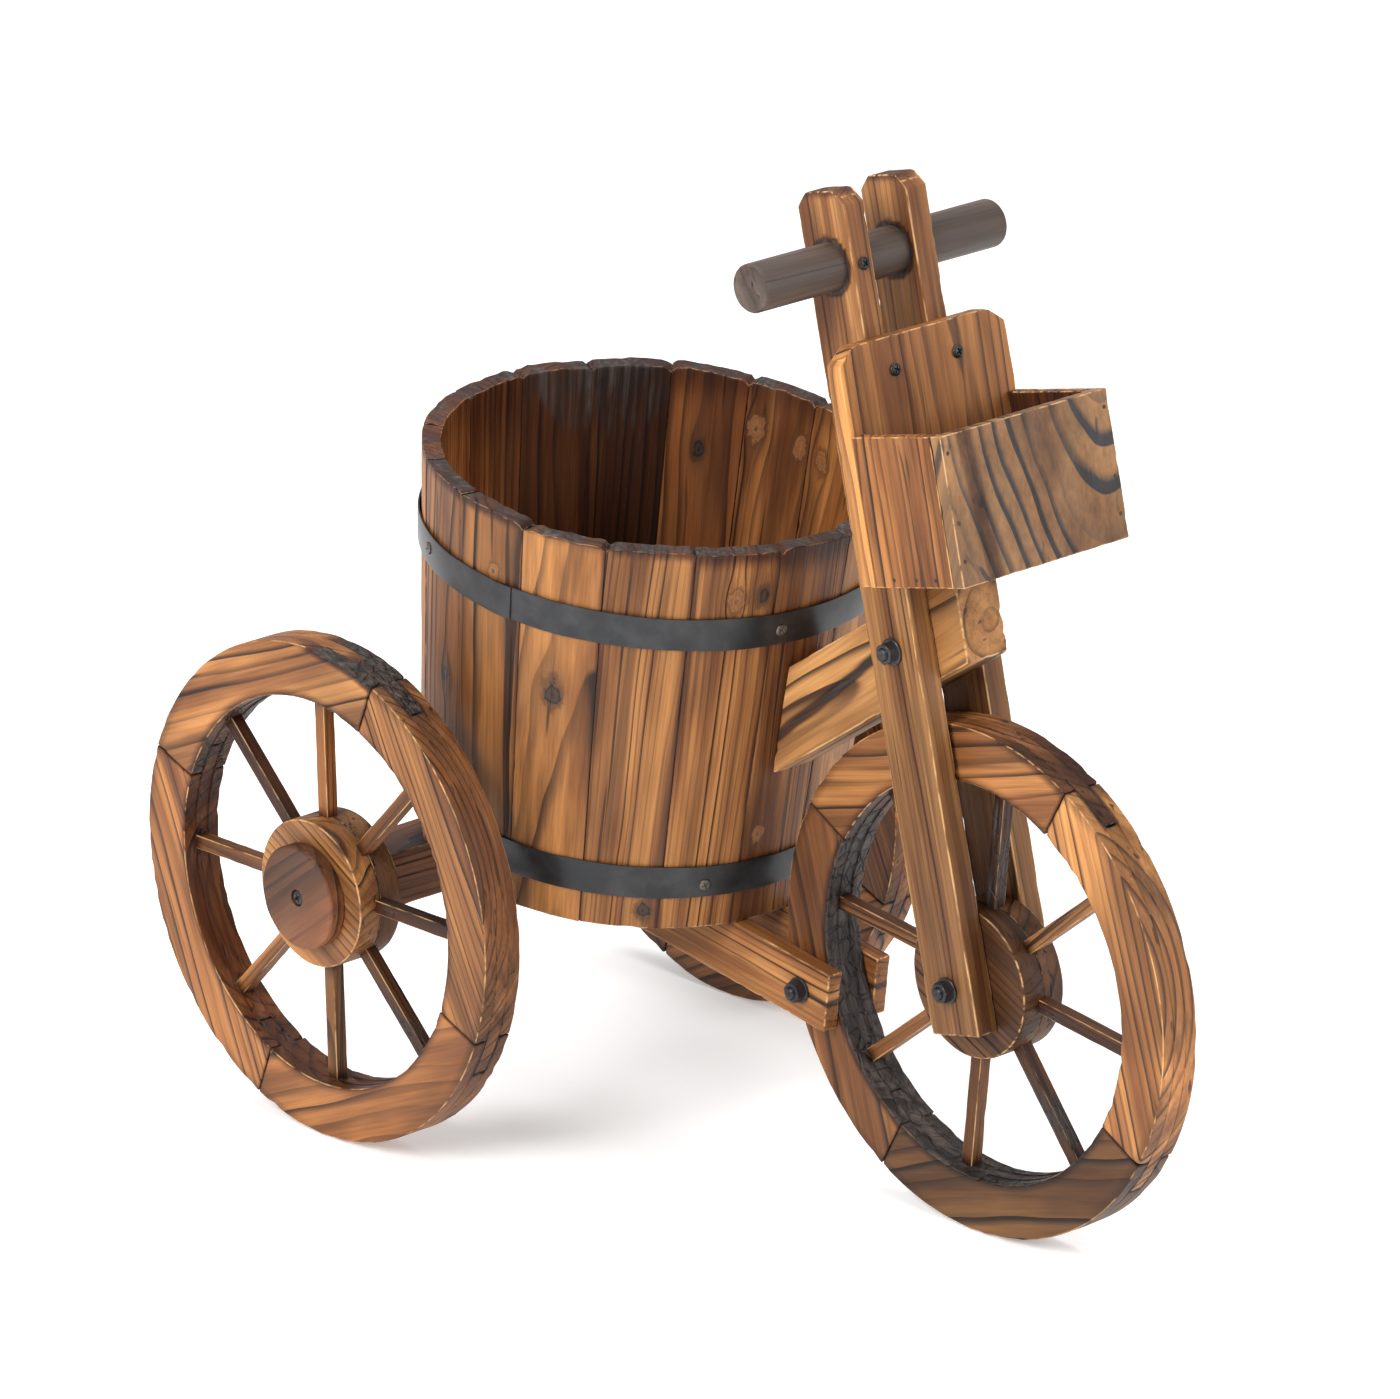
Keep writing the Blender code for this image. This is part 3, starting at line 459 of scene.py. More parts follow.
    height = g.math("MULTIPLY_ADD", fibre, 0.2, g.math("MULTIPLY", line, 0.6))
    height = g.math("ADD", height, g.math("MULTIPLY", strand, 0.5))
    height = g.math("SUBTRACT", height, g.math("MULTIPLY", check, 0.6))
    if crackle:
        cells = g.node("ShaderNodeTexVoronoi", feature="DISTANCE_TO_EDGE")
        g.put(cells.inputs["Vector"], g.vector("MULTIPLY", moved, (110, 230, 230)))
        g.put(cells.inputs["Scale"], 1.0)
        crack = g.step(cells.outputs["Distance"], 0.0, 0.15, 1.0, 0.0)
        height = g.math("SUBTRACT", height, g.math("MULTIPLY", g.math("MULTIPLY", crack, burnt), 1.3))
    bump = g.node("ShaderNodeBump")
    g.put(bump.inputs["Strength"], ridge)
    g.put(bump.inputs["Distance"], 0.0011)
    g.put(bump.inputs["Height"], height)
    g.put(g.shader.inputs["Normal"], bump.outputs[0])
    g.put(g.shader.inputs["Base Color"], colour)
    g.put(g.shader.inputs["Roughness"], g.math("ADD", g.math("MULTIPLY", strand, 0.25), roughness - 0.12))
    g.put(g.shader.inputs["Specular IOR Level"], 0.28)
    return material


def metal(name, base, spots, roughness, metallic=0.55, scale=900):
    """Dark painted or blackened steel, a little uneven in colour and gloss."""
    material = bpy.data.materials.new(name)
    material.use_nodes = True
    g = Graph(material)
    where = g.node("ShaderNodeTexCoord").outputs["Object"]
    cloud = g.noise(where, (45, 45, 45), 3, 0.6)
    speck = g.noise(where, (scale, scale, scale), 2, 0.5)
    colour = g.mix(g.step(cloud, 0.35, 0.7), base, spots)
    g.put(g.shader.inputs["Base Color"], colour)
    g.put(g.shader.inputs["Metallic"], metallic)
    g.put(g.shader.inputs["Roughness"], g.math("ADD", g.math("MULTIPLY", cloud, 0.2), roughness - 0.1))
    bump = g.node("ShaderNodeBump")
    g.put(bump.inputs["Strength"], 0.25)
    g.put(bump.inputs["Distance"], 0.0002)
    g.put(bump.inputs["Height"], g.math("ADD", speck, g.math("MULTIPLY", cloud, 1.5)))
    g.put(g.shader.inputs["Normal"], bump.outputs[0])
    return material


FIR = wood("torched_fir", (0.44, 0.195, 0.057), (0.19, 0.073, 0.022), (0.032, 0.015, 0.009), knotty=True)
PANEL_FIR = wood("smoky_fir", (0.36, 0.18, 0.072), (0.19, 0.098, 0.046), (0.036, 0.034, 0.036), 1.7, streaks=0.4)
RIM_FIR = wood("torched_rim_fir", (0.42, 0.19, 0.058), (0.18, 0.070, 0.022), (0.034, 0.016, 0.009),
               streaks=0.8, ridge=0.7, crackle=True)
PALE = wood("light_torched_fir", (0.49, 0.245, 0.083), (0.24, 0.098, 0.029), (0.045, 0.019, 0.01),
            streaks=0.6, ridge=0.6)
BURNT = wood("burnt_fir", (0.16, 0.072, 0.033), (0.065, 0.03, 0.016), (0.016, 0.01, 0.008), ridge=0.6)
DOWEL = wood("burnt_dowel", (0.155, 0.118, 0.097), (0.082, 0.062, 0.052), (0.018, 0.014, 0.013),
             lines_dark=0.4, streaks=0.6, roughness=0.46, ridge=0.2)
STRAP = metal("strap_paint", (0.024, 0.025, 0.027), (0.046, 0.046, 0.048), 0.34)
BLACK = metal("black_oxide", (0.022, 0.022, 0.025), (0.05, 0.048, 0.048), 0.38)
SCREW = metal("worn_screw", (0.07, 0.062, 0.058), (0.16, 0.135, 0.115), 0.36, 0.8)
NAIL = metal("nail_heads", (0.03, 0.02, 0.015), (0.07, 0.035, 0.02), 0.6, 0.3)


# ---------------------------------------------------------------- barrel

def barrel_radius(height):
    return BARREL_BASE_RADIUS + (BARREL_TOP_RADIUS - BARREL_BASE_RADIUS) * height / BARREL_HEIGHT


# per stave: lightness, redness, depth of the burnt top, darkness inside, knots (height, across, radius, dark)
STAVES = {
    1: (-0.1, 0.3, 3, 0.1, [(0.191, -0.016, 5.0, 0), (0.193, 0.015, 5.5, 0)]),
    2: (-0.3, 0.5, 4, 0.2, [(0.175, 0.003, 4.0, 1)]),
    3: (-0.6, 0.1, 10, 0.55, [(0.2135, 0.014, 4.0, 1)]),
    4: (-0.5, 0.15, 14, 0.5, []),
    5: (0.25, 0.4, 12, 0.2, []),
    6: (0.75, 0.3, 5, 0.1, []),
    7: (0.1, 0.3, 3, 0.1, [(0.05, 0.004, 5.0, 0)]),
    8: (-0.15, 0.15, 3, 0.1, [(0.110, 0.009, 5.0, 1)]),
    9: (-0.7, 0.2, 3, 0.05, [(0.1855, 0.004, 3.6, 0), (0.06, -0.012, 3.0, 1)]),
    10: (-0.05, 0.1, 3, 0.05, [(0.1286, -0.001, 6.0, 1)]),
    11: (-0.2, 0.1, 3, 0.05, [(0.011, 0.0135, 4.4, 1)]),
    12: (-0.2, 0.15, 11, 0.05, [(0.1916, 0.001, 4.6, 0), (0.1930, 0.0150, 4.0, 1)]),
    13: (-0.1, 0.15, 24, 0.05, [(0.0507, -0.0125, 4.0, 0)]),
    14: (0.1, 0.0, 8, 0.1, []),
    15: (0.0, 0.1, 5, 0.1, [(0.09, 0.003, 4.5, 0)]),
    16: (0.1, 0.2, 4, 0.1, []),
    17: (-0.1, 0.3, 4, 0.1, [(0.189, 0.011, 5.0, 0)]),
}


def make_stave(number):
    light, red, top_char, inside, knots = STAVES[number]
    seed = 100 + number * 7
    rng = np.random.default_rng(seed)
    width = 45 * MM
    size = (BARREL_HEIGHT, width, STAVE_THICKNESS)
    joints = [-width / 2 + 2.6 * MM, width / 2 - 2.6 * MM]
    p, quads, edge = grid_block(size, (5 * MM, 4.5 * MM, 4 * MM), 0.9 * MM, seed, 1.1, ((), joints, ()), 0.35 * MM,
                                (0, 0, 1))
    height = p[:, 0] + BARREL_HEIGHT / 2
    across, depth = p[:, 1], p[:, 2]
    # torn, uneven top: each stave ends at its own height, with nicks at its corners
    ragged = 0.9 + 0.9 * noise(np.stack([across * 170, depth * 90, np.full(len(p), 1.5)], -1), seed)
    ragged += 0.7 * noise(np.stack([across * 520, depth * 300, np.full(len(p), 4.5)], -1), seed + 4)
    ragged += 1.8 * smooth(np.abs(across), 0.0190, 0.0222) * rng.uniform(0.2, 1.6)
    ragged += rng.uniform(0, 1.8) + np.clip(across * rng.normal(0, 30), -1, 1)
    height = height - smooth(height, 0.200, 0.2185) * np.clip(ragged, 0, 4.2) * MM
    share = across / (width / 2)
    turn = STAVE_TURN + STAVE_SECTOR * (number - 0.5)
    angle = turn + share * STAVE_SECTOR / 2
    flat = 0.5 * MM * (1 - share ** 2) * -1 + rng.uniform(-0.45, 0) * MM
    radius = barrel_radius(height) - STAVE_THICKNESS / 2 + depth + np.where(depth > 0, np.minimum(flat, 0), 0)
    points = place(DECK, np.stack([radius * np.cos(angle), radius * np.sin(angle), height], -1))
    outer = depth > 0
    top = BARREL_HEIGHT - height
    patch = noise(np.stack([height * 22, across * 120, np.full(len(p), 0.5)], -1), seed + 9)
    scorched = 0.42 * smooth(np.abs(share), 0.84, 0.97) * smooth(patch, -0.4, 0.3)
    char = np.where(outer, np.maximum(scorched, 0.6 * (1 - smooth(top, 2.0 * MM, (3 + top_char) * MM))),
                    inside + 0.25 * (1 - smooth(top, 2 * MM, (8 + 4 * top_char) * MM)))
    char = np.where((top < 5.5 * MM) & (np.abs(depth) < 4.9 * MM), 0.7 + 0.25 * patch, char)
    char = np.where(np.abs(share) > 0.985, np.maximum(char, 0.7), char)
    worn = edge * np.where(top < 5 * MM, 0.75, np.where(np.abs(share) > 0.9, 0.45, 1))
    grain = log_place(p, seed, ring=rng.uniform(0.6, 1.3))
    plan = np.stack([p[:, 0] + BARREL_HEIGHT / 2, across], -1)
    piece = Piece(f"barrel_stave_{number:02d}")
    piece.add(points, quads, worn, grain, (light, red), char, [(h, v, r * MM, k) for h, v, r, k in knots], plan)
    piece.make(FIR, "frame", [f"stave_{number:02d}"], "fir")


for stave in range(1, STAVE_COUNT + 1):
    make_stave(stave)


def ring_points(p, lift):
    """Turns a ring that was made about X to stand about the barrel's own axis."""
    return place(DECK, np.stack([p[:, 1], p[:, 2], p[:, 0] + lift], -1))


def make_hoop(name, lift, seam, seed):
    """A strap that closes on itself with a lap, its long edges a little uneven."""
    steps = 240
    turn = np.linspace(0, 2 * pi * 1.014, steps) + seam
    lap = 0.25 * MM + 0.75 * MM * smooth(np.arange(steps), steps - 8, steps - 3)
    section = [(0.0, 0.0), (0.0, 0.8), (0.06, 1.0), (0.94, 1.0), (1.0, 0.8), (1.0, 0.0)]
    rows = []
    for up, out in section:
        wave = 0.25 * MM * noise(np.stack([np.cos(turn) * 5, np.sin(turn) * 5, np.full(steps, up * 9)], -1), seed)
        height = lift + up * HOOP_HEIGHT + wave * (1 if 0.3 < up else -1)
        cling = 0.18 * MM * (1 + np.cos(STAVE_COUNT * (turn - STAVE_TURN)))
        radius = barrel_radius(height) + lap + out * 1.0 * MM - cling * 0.4
        rows.append(np.stack([radius * np.cos(turn), radius * np.sin(turn), height], -1))
    p = np.concatenate(rows)
    ids = np.arange(len(p)).reshape(len(section), steps)
    there = np.roll(ids, -1, 0)
    quads = np.stack([ids[:, :-1], ids[:, 1:], there[:, 1:], there[:, :-1]], -1).reshape(-1, 4)
    Piece(f"barrel_{name}").add(place(DECK, p), quads, np.zeros(len(p)), ends=[ids[::-1, 0], ids[:, -1]]).make(
        STRAP, "frame", [name], "strap_steel")


make_hoop("hoop_upper", HOOP_LIFTS["hoop_upper"], radians(186.1), 3)
make_hoop("hoop_lower", HOOP_LIFTS["hoop_lower"], radians(100), 4)


def stand(place_at, out, spin=0.0):
    """A frame whose +X points along out."""
    turn = Vector(out).to_track_quat("X", "Z").to_matrix().to_4x4()
    return Matrix.Translation(place_at) @ turn @ Matrix.Rotation(spin, 4, "X")


def make_heads(name, spots, radius, depth, material, body="frame", replaces=(), slot=None, recess=True):
    """Screw or nail heads at (place, direction out, turn) spots, as one piece."""
    piece = Piece(name)
    for at, out, spin in spots:
        p, quads, edge, ends = grid_head(radius, depth, recess, 48 if recess else 16)
        piece.add(place(stand(at, out, spin), p), quads, edge, ends=ends)
    piece.make(material, body, replaces, slot, 50)


def on_hoop(theta, height, lift=1.3 * MM):
    a = radians(theta)
    reach = barrel_radius(height) + lift
    at = DECK @ Vector((reach * cos(a), reach * sin(a), height))
    return at, DECK.to_3x3() @ Vector((cos(a), sin(a), -0.07)), a * 3


make_heads("hoop_screws", [on_hoop(t, h) for t, h in ((156.7, 0.1735), (259.2, 0.1725), (247.4, 0.0265),
                                                      (20, 0.173), (88, 0.173), (330, 0.172),
                                                      (108, 0.028), (20, 0.028), (330, 0.028), (178, 0.028))],
           3.2 * MM, 1.1 * MM, SCREW, slot="black_steel")


def make_floor():
    outer = barrel_radius(0.016) - STAVE_THICKNESS - GAP
    corners = [(0.010, 0.006), (0.010, outer - 0.4 * MM), (0.022, outer), (0.022, 0.006)]
    p, quads, edge = grid_turned(eased(corners, 0.8 * MM), 68, 5)
    flat = np.stack([p[:, 1], p[:, 2], p[:, 0]], -1)
    grain = log_place(flat, 55, ring=0.9)
    Piece("barrel_floor_board").add(ring_points(p, 0), quads, edge * 0.3, grain, (-0.3, 0.3), 0.45).make(
        BURNT, "frame", ["barrel_floor"], "burnt_fir")


make_floor()


# ---------------------------------------------------------------- boards

def board(low, high, along, seed, ease=0.9 * MM, step=6 * MM, chips=1.0, extra=((), (), ()), wave=0.2 * MM):
    """A board between two corners. Returns its points and its flat (u, v, w) places, u along the grain."""
    low, high = np.array(low, float), np.array(high, float)
    size = high - low
    rest = sorted((axis for axis in range(3) if axis != along), key=lambda axis: -size[axis])
    order = [along, *rest]
    fine = min(step, 4 * MM)
    p, quads, edge = grid_block(size[order], (step, fine, fine), ease, seed, chips, extra, wave)
    points = np.zeros_like(p)
    points[:, order] = p
    return points + (low + high) / 2, quads, edge, p


def clip_corner(points, at, normal):
    """Presses points that lie past a plane back onto it."""
    n = np.array(normal, float) / np.linalg.norm(normal)
    past = np.clip((points - np.array(at, float)) @ n, 0, None)
    return points - past[:, None] * n


def make_board(name, node, low, high, along, frame_matrix, material, slot, seed, tone=None, char=0.0, clips=(),
               knots=(), pith=None, tilt=None, ring=1.0, shape=None, burn_and_shade=None, **options):
    points, quads, edge, flat = board(low, high, along, seed, **options)
    for at, normal in clips:
        points = clip_corner(points, at, normal)
    if shape:
        points = shape(points, flat)
    # the char this gives also holds painted shade on the fork legs: a dark ring around the handlebar
    if burn_and_shade:
        char = burn_and_shade(points, flat)
    if callable(tone):
        tone = tone(points, flat)
    grain = log_place(flat, seed, pith, tilt, ring)
    Piece(name).add(place(frame_matrix, points), quads, edge, grain, tone or (0, 0), char, knots, flat[:, :2]).make(
        material, "frame", [node], slot)


def leg_scorch_and_hole_shade(points, flat):
    """Scorch at the top of a leg, and a ring of painted shade close around the handlebar, where the gap round its hole
    would lie in shade.
    """
    # painted shade: the leg is solid here, so a dark ring around the handlebar is painted into the char channel
    rim = np.hypot(points[:, 1], points[:, 2] - HANDLE_UP) - HANDLE_RADIUS
    return np.maximum(0.95 * (1 - smooth(rim, 1.2 * MM, 3.6 * MM)),
                      0.5 * (1 - smooth(LEG_TOP - points[:, 2], 0.5 * MM, 5 * MM)))


half_leg = LEG_WIDTH / 2
clip = 8 * MM
for name, side, seed, bright in (("fork_leg_right", -1, 301, -0.1), ("fork_leg_left", 1, 322, -0.2)):
    low_x, high_x = sorted((side * FORK_GAP / 2, side * (FORK_GAP / 2 + LEG_THICKNESS)))
    clips = [((0, half_leg, LEG_TOP - clip), (0, 1, 1)), ((0, -half_leg, LEG_TOP - clip), (0, -1, 1))]
    make_board(f"{name}_timber", name, (low_x, -half_leg, -LEG_FOOT), (high_x, half_leg, LEG_TOP), 2, FORK, PALE,
               "pale_fir", seed, lambda q, f: (bright - 0.75 * (1 - smooth(q[:, 2], 0.10, 0.32)), 0.2),
               clips=clips, pith=(0.05, 0.05 * side), tilt=(0.004, 0.01), ring=1.5, burn_and_shade=leg_scorch_and_hole_shade, step=2.6 * MM,
               ease=1.2 * MM, chips=0.8)

# the main beam: its lower end is cut to the barrel, its upper end parallel to the fork
half_beam = BEAM_HEIGHT / 2


def beam_shape(points, flat):
    """Moves the ends of the beam to their cuts; local -Y is up the slope."""
    length = flat[:, 0] / (flat[:, 0].max() - flat[:, 0].min()) + 0.5
    z = points[:, 2]
    x = points[:, 0]
    tip = -(BEAM_TIP + z * sin(BEAM_FROM_FORK)) / cos(BEAM_FROM_FORK)
    to_deck = np.array(DECK.inverted() @ SLOPE, float)
    base = np.stack([x, np.zeros_like(x), z], -1) @ to_deck[:3, :3].T + to_deck[:3, 3]
    step = to_deck[:3, :3] @ np.array([0, 1, 0])
    reach = np.full(len(x), 0.02)
    for _ in range(40):
        q = base + reach[:, None] * step
        gap = np.hypot(q[:, 0], q[:, 1]) - barrel_radius(q[:, 2]) - GAP
        reach = reach + gap * 0.9
    y = tip + (reach - tip) * np.clip(length, 0, 1)
    return np.stack([x, y, z], -1)


def beam_char(points, flat):
    """One dark streak that wanders along the beam."""
    streak = points[:, 2] - 0.007 + 0.11 * points[:, 1] - 0.0022 * noise(points * 38, 5)
    return 0.9 * (1 - smooth(np.abs(streak), 1.2 * MM, 3.8 * MM)) * smooth(points[:, 1], 0.004, 0.03)


make_board("main_beam_timber", "main_beam", (-FORK_GAP / 2 + GAP, 0, -half_beam), (FORK_GAP / 2 - GAP, 0.140, half_beam),
           1, SLOPE, PALE, "pale_fir", 341, (0.15, 0.0), pith=(-0.006, 0.003), tilt=(0.03, 0.0), ring=0.6,
           shape=beam_shape, step=2.6 * MM, burn_and_shade=beam_char, ease=1.3 * MM, chips=1.3)

# the rails, cut square to the deck at the front and upright at the axle beam
bolt_up = -GAP - 33 * MM / 2
axle_on_deck = DECK.inverted() @ FRONT_AXLE
bolt_y = axle_on_deck.y + sqrt(RIM_MIDDLE ** 2 - (bolt_up - axle_on_deck.z) ** 2)
butt = REAR_AXLE.y - 17 * MM - GAP - DECK.translation.y


def rail_shape(points, flat):
    """Slopes the rear end so that it stands flat against the axle beam."""
    y, z = points[:, 1], points[:, 2]
    back = (butt + z * sin(radians(9))) / cos(radians(9))
    full = y.max()
    nose = y.min()
    return np.stack([points[:, 0], nose + (y - nose) * (back - nose) / (full - nose), z], -1)


def rail_char(points, flat):
    """A dark split from the bolt to the front end of a rail."""
    split = np.abs(points[:, 2] - bolt_up - 0.0012 * noise(points * 60, 8))
    return 0.9 * (1 - smooth(split, 0.8 * MM, 2.6 * MM)) * (1 - smooth(points[:, 1], bolt_y, bolt_y + 4 * MM))


for name, side, seed in (("rail_right", -1, 361), ("rail_left", 1, 383)):
    low_x, high_x = sorted((side * (RIM_WIDTH / 2 + GAP), side * (RIM_WIDTH / 2 + GAP + 9.5 * MM)))
    make_board(f"{name}_timber", name, (low_x, bolt_y - 20 * MM, -GAP - 33 * MM), (high_x, butt, -GAP), 1, DECK, PALE,
               "pale_fir", seed, (0.0, 0.25), pith=(0.07, 0.01), tilt=(0.006, 0.0), ring=1.1, shape=rail_shape,
               step=2.6 * MM, burn_and_shade=rail_char, ease=1.1 * MM)

half_axle = TRACK / 2 - HUB_WIDTH / 2 - 0.5 * MM
make_board("axle_beam_timber", "axle_beam", tuple(REAR_AXLE + Vector((-half_axle, -17 * MM, -15 * MM))),
           tuple(REAR_AXLE + Vector((half_axle, 17 * MM, 15 * MM))), 0, Matrix.Identity(4), BURNT, "burnt_fir", 402,
           (0.3, 0.3), 0.15, ease=1.2 * MM)

# the front box
front = BOARD_FACE - BOX_DEPTH
half_box = BOX_WIDTH / 2
top = BOX_BOTTOM + BOX_HEIGHT
inside = front + PANEL + GAP
board_clips = [((side * half_box, 0, BACKBOARD_TOP - 9 * MM), (side * 9, 0, 12)) for side in (-1, 1)]
make_board("box_backboard_timber", "box_backboard", (-half_box, BOARD_FACE, BOX_BOTTOM),
           (half_box, BOARD_FACE + BACKBOARD, BACKBOARD_TOP), 2, FORK, FIR, "fir", 421, (0.55, 0.0), clips=board_clips,
           ring=0.8)
make_board("box_front_panel", "box_front", (-half_box, front, BOX_BOTTOM), (half_box, front + PANEL, top), 2, FORK, PANEL_FIR,
           "fir", 447, (-0.15, 0.0), ring=0.42, pith=(0.056, 0.024), tilt=(0.0, 0.5), step=2.6 * MM,
           burn_and_shade=lambda q, f: 0.5 * (1 - smooth(np.abs(q[:, 0] + 0.024 + 0.1 * q[:, 2] - 0.011), 3 * MM, 8 * MM)))
make_board("box_right_panel", "box_side_right", (-half_box, inside, BOX_BOTTOM), (PANEL - half_box, BOARD_FACE - GAP, top),
           2, FORK, FIR, "fir", 463, (0.25, 0.15), ring=0.9)
make_board("box_left_panel", "box_side_left", (half_box - PANEL, inside, BOX_BOTTOM), (half_box, BOARD_FACE - GAP, top),
           2, FORK, FIR, "fir", 481, (0.1, 0.15), ring=0.9,
           burn_and_shade=lambda q, f: np.where(q[:, 0] < half_box - PANEL / 2, 0.62, 0.0))
make_board("box_bottom_board", "box_bottom", (PANEL + GAP - half_box, inside, BOX_BOTTOM),
           (half_box - PANEL - GAP, BOARD_FACE - GAP, BOX_BOTTOM + PANEL), 0, FORK, BURNT, "burnt_fir", 495, (0.2, 0.2),
           0.3)


# ---------------------------------------------------------------- wheels

FELLOE_ARC = RIM_MIDDLE * pi / 2
SEAM = GAP / RIM_INNER


def make_felloe(name, node, axle, turn, number, seed, body, tone, char, ring, tread_char):
    """A quarter of a rim, with the slot at its start and the tongue at its end."""
    slot_half, tongue_half = TONGUE_WIDTH / 2 + GAP, TONGUE_WIDTH / 2
    cut_half, key_half = slot_half + 0.25 * MM, tongue_half - 0.25 * MM
    walls = [-cut_half, -key_half, key_half, cut_half]
    p, quads, edge = grid_block((FELLOE_ARC, RIM_DEPTH, RIM_WIDTH), (5 * MM, 4 * MM, 4 * MM), 0.9 * MM, seed, 1.2,
                                ((), (), walls), 0.25 * MM)
    share = p[:, 0] / FELLOE_ARC + 0.5
    x = p[:, 2]
    reach = TONGUE_LENGTH / RIM_MIDDLE
    begin = SEAM + np.where(np.abs(x) < cut_half - 0.05 * MM, reach, 0)
    end = pi / 2 + np.where(np.abs(x) <= key_half + 0.05 * MM, reach, 0)
    start = turn + pi / 8 + pi / 2 * (number - 1)
    angle = start + begin + (end - begin) * share
    radius = RIM_MIDDLE + p[:, 1] - 0.1 * MM
    y, z = radius * np.cos(angle), radius * np.sin(angle)
    points = np.stack([x, y, z], -1) + np.array(axle)
    middle = start + pi / 4
    flat = np.stack([z * cos(middle) - y * sin(middle), y * cos(middle) + z * sin(middle) - RIM_MIDDLE, x], -1)
    rng = np.random.default_rng(seed)
    away, lean = rng.uniform(0.04, 0.07), rng.choice([-1, 1]) * radians(rng.uniform(35, 55))
    grain = log_place(flat, seed, (away * cos(lean), away * sin(lean)), None, ring)
    burnt = char * (1 - smooth(radius, RIM_INNER + 0.5 * MM, RIM_INNER + 3 * MM))
    ends = np.maximum(1 - smooth(share, 0.0, 0.012), smooth(share, 0.988, 1.0))
    outside = smooth(radius, (RIM_MIDDLE + RIM_DEPTH / 2) - 5 * MM, (RIM_MIDDLE + RIM_DEPTH / 2) - 1 * MM)
    blotch = smooth(noise(points * 13, seed + 3), 0.15, 0.7)
    light = tone[0] - 0.9 * outside * smooth(np.abs(share - 0.5), 0.2, 0.5) - 0.6 * blotch
    burnt = np.maximum(burnt, tread_char * outside * smooth(share, 0.68, 0.82))
    socket = np.abs((angle - turn + pi / 8) % (pi / 4) - pi / 8) * radius
    socket = (1 - smooth(np.hypot(socket, x), 5.5 * MM, 9 * MM)) * (1 - smooth(radius, RIM_INNER + 2 * MM, RIM_INNER + 4 * MM))
    burnt = np.maximum(burnt, 0.85 * socket)
    along = angle - start
    outline = ((np.abs(np.abs(x) - key_half) < 0.1 * MM) & (along > pi / 2)
               | (np.abs(np.abs(x) - cut_half) < 0.1 * MM) & (along < reach + SEAM))
    burnt = np.maximum(burnt, np.where(outline, 0.75, 0))
    burnt = np.maximum(burnt, ends * np.where(np.abs(x) < cut_half + 0.1 * MM, 0.85, 0.45))
    Piece(name).add(points, quads, edge * (1 - 0.9 * ends), grain, (light, tone[1]), burnt).make(
        RIM_FIR, body, [node], "fir")


def make_hub(name, node, axle, turn, bore, seed, body, tone, char, shades, painted_shade_disc=None):
    """Two glued discs and eight square spokes, some of them charred grey."""
    piece = Piece(name)
    half = HUB_WIDTH / 2
    for layer, (low, high) in enumerate(((-half, -0.1 * MM), (0.1 * MM, half))):
        corners = [(low, bore), (low, HUB_RADIUS, 1.0 * MM if layer == 0 else 0.4 * MM),
                   (high, HUB_RADIUS, 0.4 * MM if layer == 0 else 1.0 * MM), (high, bore)]
        p, quads, edge = grid_turned(eased(corners, 0.3 * MM), 72, seed + layer, 0.35 * MM)
        spin = 0.5 + layer * 1.2
        flat = np.stack([p[:, 1] * cos(spin) + p[:, 2] * sin(spin), p[:, 2] * cos(spin) - p[:, 1] * sin(spin), p[:, 0]],
                        -1)
        grain = log_place(flat, seed + layer, ring=0.9)
        seam = 0.7 * (1 - smooth(np.abs(p[:, 0]), 0.3 * MM, 1.2 * MM))
        # painted shade: the disc that faces the axle beam is drawn a step darker, for the shade it sits in
        light = tone[0] - (1.0 if layer == painted_shade_disc else 0)
        piece.add(p + np.array(axle), quads, edge, grain, (light, tone[1]), np.maximum(char, seam))
    inner, outer = HUB_RADIUS - 2 * MM, RIM_INNER + 8.5 * MM
    rng = np.random.default_rng(seed)
    for number in range(8):
        a = turn + pi / 4 * number + pi / 2
        p, quads, edge = grid_block((outer - inner, SPOKE_SIZE, SPOKE_SIZE), (7 * MM, 3 * MM, 3 * MM), 0.7 * MM,
                                    seed + 20 + number, 0.8, wave=0.15 * MM)
        along = p[:, 0] + (inner + outer) / 2
        points = np.stack([p[:, 2], along * cos(a) - p[:, 1] * sin(a), along * sin(a) + p[:, 1] * cos(a)], -1)
        shade = shades[number]
        end = np.maximum(1 - smooth(along, HUB_RADIUS, HUB_RADIUS + 4 * MM),
                         smooth(along, RIM_INNER - 4 * MM, RIM_INNER))
        patch = noise(points * 45, seed + number)
        burnt = np.maximum(0.62 + 0.25 * patch if shade < -0.9 else 0.1, end * 0.6)
        piece.add(points + np.array(axle), quads, edge, log_place(p, seed + 40 + number, ring=1.3),
                  (max(shade, -0.6), rng.uniform(0, 0.4)), burnt)
    piece.make(RIM_FIR, body, [node], "fir")


def make_wheel(prefix, axle, turn, body, seed, tones, chars, rings, tread_char):
    """Four felloes; the top one is scorched on its tread, near its tongue."""
    for number, (tone, char, ring) in enumerate(zip(tones, chars, rings), 1):
        make_felloe(f"{prefix}_rim_{number}", f"{prefix}_felloe_{number}", axle, turn, number, seed + number * 11, body,
                    tone, char, ring, tread_char if number == 1 else 0)


